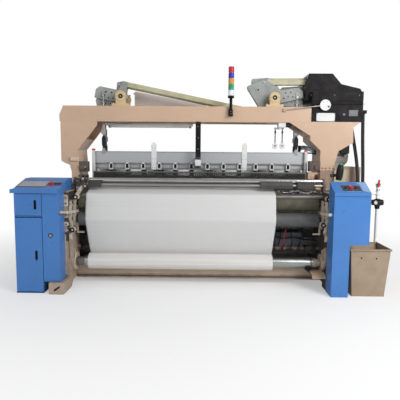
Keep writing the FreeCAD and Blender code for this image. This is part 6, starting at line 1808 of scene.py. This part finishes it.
def makeBinTrim():
    # the bin's holes are black discs: painted shade inside them
    marks = [rods((x, binFront(z) + 3, z), (x, binFront(z) - 0.5, z), 8.0, sides=20) for x, z in binTrim["holes"]]
    x0, x1, z = binTrim["fold"]
    addPiece("binHoleShade", marks, "blackPlastic")
    addPiece("binFold", spanBox((x0, x1), (binFront(z) - 0.7, binFront(z) + 2), (z, z + 2.2)), "brownEnamel")
    # flap: a quarter of a cylinder's skin that curves down from the back edge
    turn = np.radians(np.linspace(95, 12, 14))
    y = -602.0 - 300.0 * (1 - np.sin(turn))
    z = 452.0 - 150.0 * np.cos(turn) ** 2 * 0.8 - 14.0 * np.sin(turn * 2)
    x = np.linspace(1500.0, 1786.0, 8)
    top = np.empty((8, 14, 3))
    top[..., 0] = x[:, None]
    top[..., 1] = y
    top[..., 2] = z
    flap = addPiece("binFlap", surface(top), "binEnamel")
    wall = flap.modifiers.new("flapThickness", "SOLIDIFY")
    wall.thickness = 0.0025
    addPiece("binRimFold", slab([(1422, -958), (1808, -958), (1808, -950), (1422, -950)], "z", 444, 448.5),
             "brownEnamel")


makeBinTrim()


# air stand: regulator with its gauge, nuts and stem
stand = {"pipe": (1826.0, -500.0), "regulator": 846.0}


def makeAirStand():
    x, y = stand["pipe"]
    z = stand["regulator"]
    addPiece("standPipe",
             [rods((x, y, 8), (x, y, z - 50), 17.0, sides=28), rods((x, y, z + 40), (x, y, 1012), 17.0, sides=28),
              lathe([(0, 18), (0, 54), (6, 55), (9, 50), (10, 30), (26, 22), (30, 18)], (x, y, 0), "z", 36, True),
              rods((1406, y, 945), (x - 12, y, 945), 13.0, sides=24), rods((x, y, 928), (x, y, 966), 22.0, sides=28)],
             "whiteEnamel", replaces=["air_stand"])
    addPiece("standPlate",
             [spanBox((1399, 1410), (y - 50, y + 50), (890, 955)),
              rods((1408, y, 945), (1424, y, 945), 24.0, 20.0, 24)], "tanEnamel", bevel=2.0)
    addPiece("valveBody",
             [spanBox((x - 19, x + 19), (y - 19, y + 19), (1024, 1044)),
              rods((x, y, 1008), (x, y, 1026), 22.0, 20.0, 6)], "chrome", bevel=2.0)
    anchors = [(x + 40 * math.cos(t), y + 40 * math.sin(t), 9.0) for t in corners]
    addPiece("standAnchors", bolts(anchors, (0, 0, 1), 6.5, 6.0), "groundSteel")
    addPiece("regulator",
             [rods((x, y, z - 26), (x, y, z + 40), 30.0, sides=28),
              rods((x - 54, y, z + 6), (x + 56, y, z + 6), 29.0, sides=28),
              rods((x + 28, y, z + 6), (x + 56, y, z + 6), 31.0, 29.0, 28),
              rods((x, y, z - 60), (x, y, z - 24), 22.0, 28.0, 28),
              rods((x, y, z + 38), (x, y, z + 52), 20.0, 15.0, 24)], "blackPlastic", bevel=1.5)
    addPiece("gaugeRim", ring((x - 30, 0, z + 8), "y", 17.0, 20.0, y - 44, y - 24, 28), "chrome")
    addPiece("gaugeFace", rods((x - 30, y - 26, z + 8), (x - 30, y - 38, z + 8), 17.5, sides=28), "whiteGloss")
    addPiece("valveStem", rods((x - 4, y - 26, 1052), (x - 4, y - 4, 1052), 7.0, sides=16), "chrome")
    addPiece("standNuts",
             [rods((x, y, 906), (x, y, 926), 17.0, sides=6), rods((x, y, 968), (x, y, 990), 19.0, sides=6),
              rods((x, y, 772), (x, y, 788), 17.0, sides=6)], "chrome", bevel=1.0)


makeAirStand()


def makeFeet():
    # the slot in the foot is a thin black slab: painted shade inside it
    addPiece("footSlotShade",
             slab([(-1356, 34), (-1346, 30), (-1300, 62), (-1292, 78), (-1300, 82), (-1350, 50)], "y", -971.2, -968),
             "blackPlastic")
    # front girder: pale band on its face, painted as a highlight, dark lip below
    y = -525.0
    addPiece("girderPaintedHighlight", spanBox((-1258, 1258), (y - 2, y + 1), (92, 183)), "paintedHighlightTan", bevel=1.0)
    addPiece("girderLip", spanBox((-1258, 1258), (y - 5, y + 1), (46, 74)), "brownCasting", bevel=2.0)


makeFeet()
print("bin, stand and feet made")
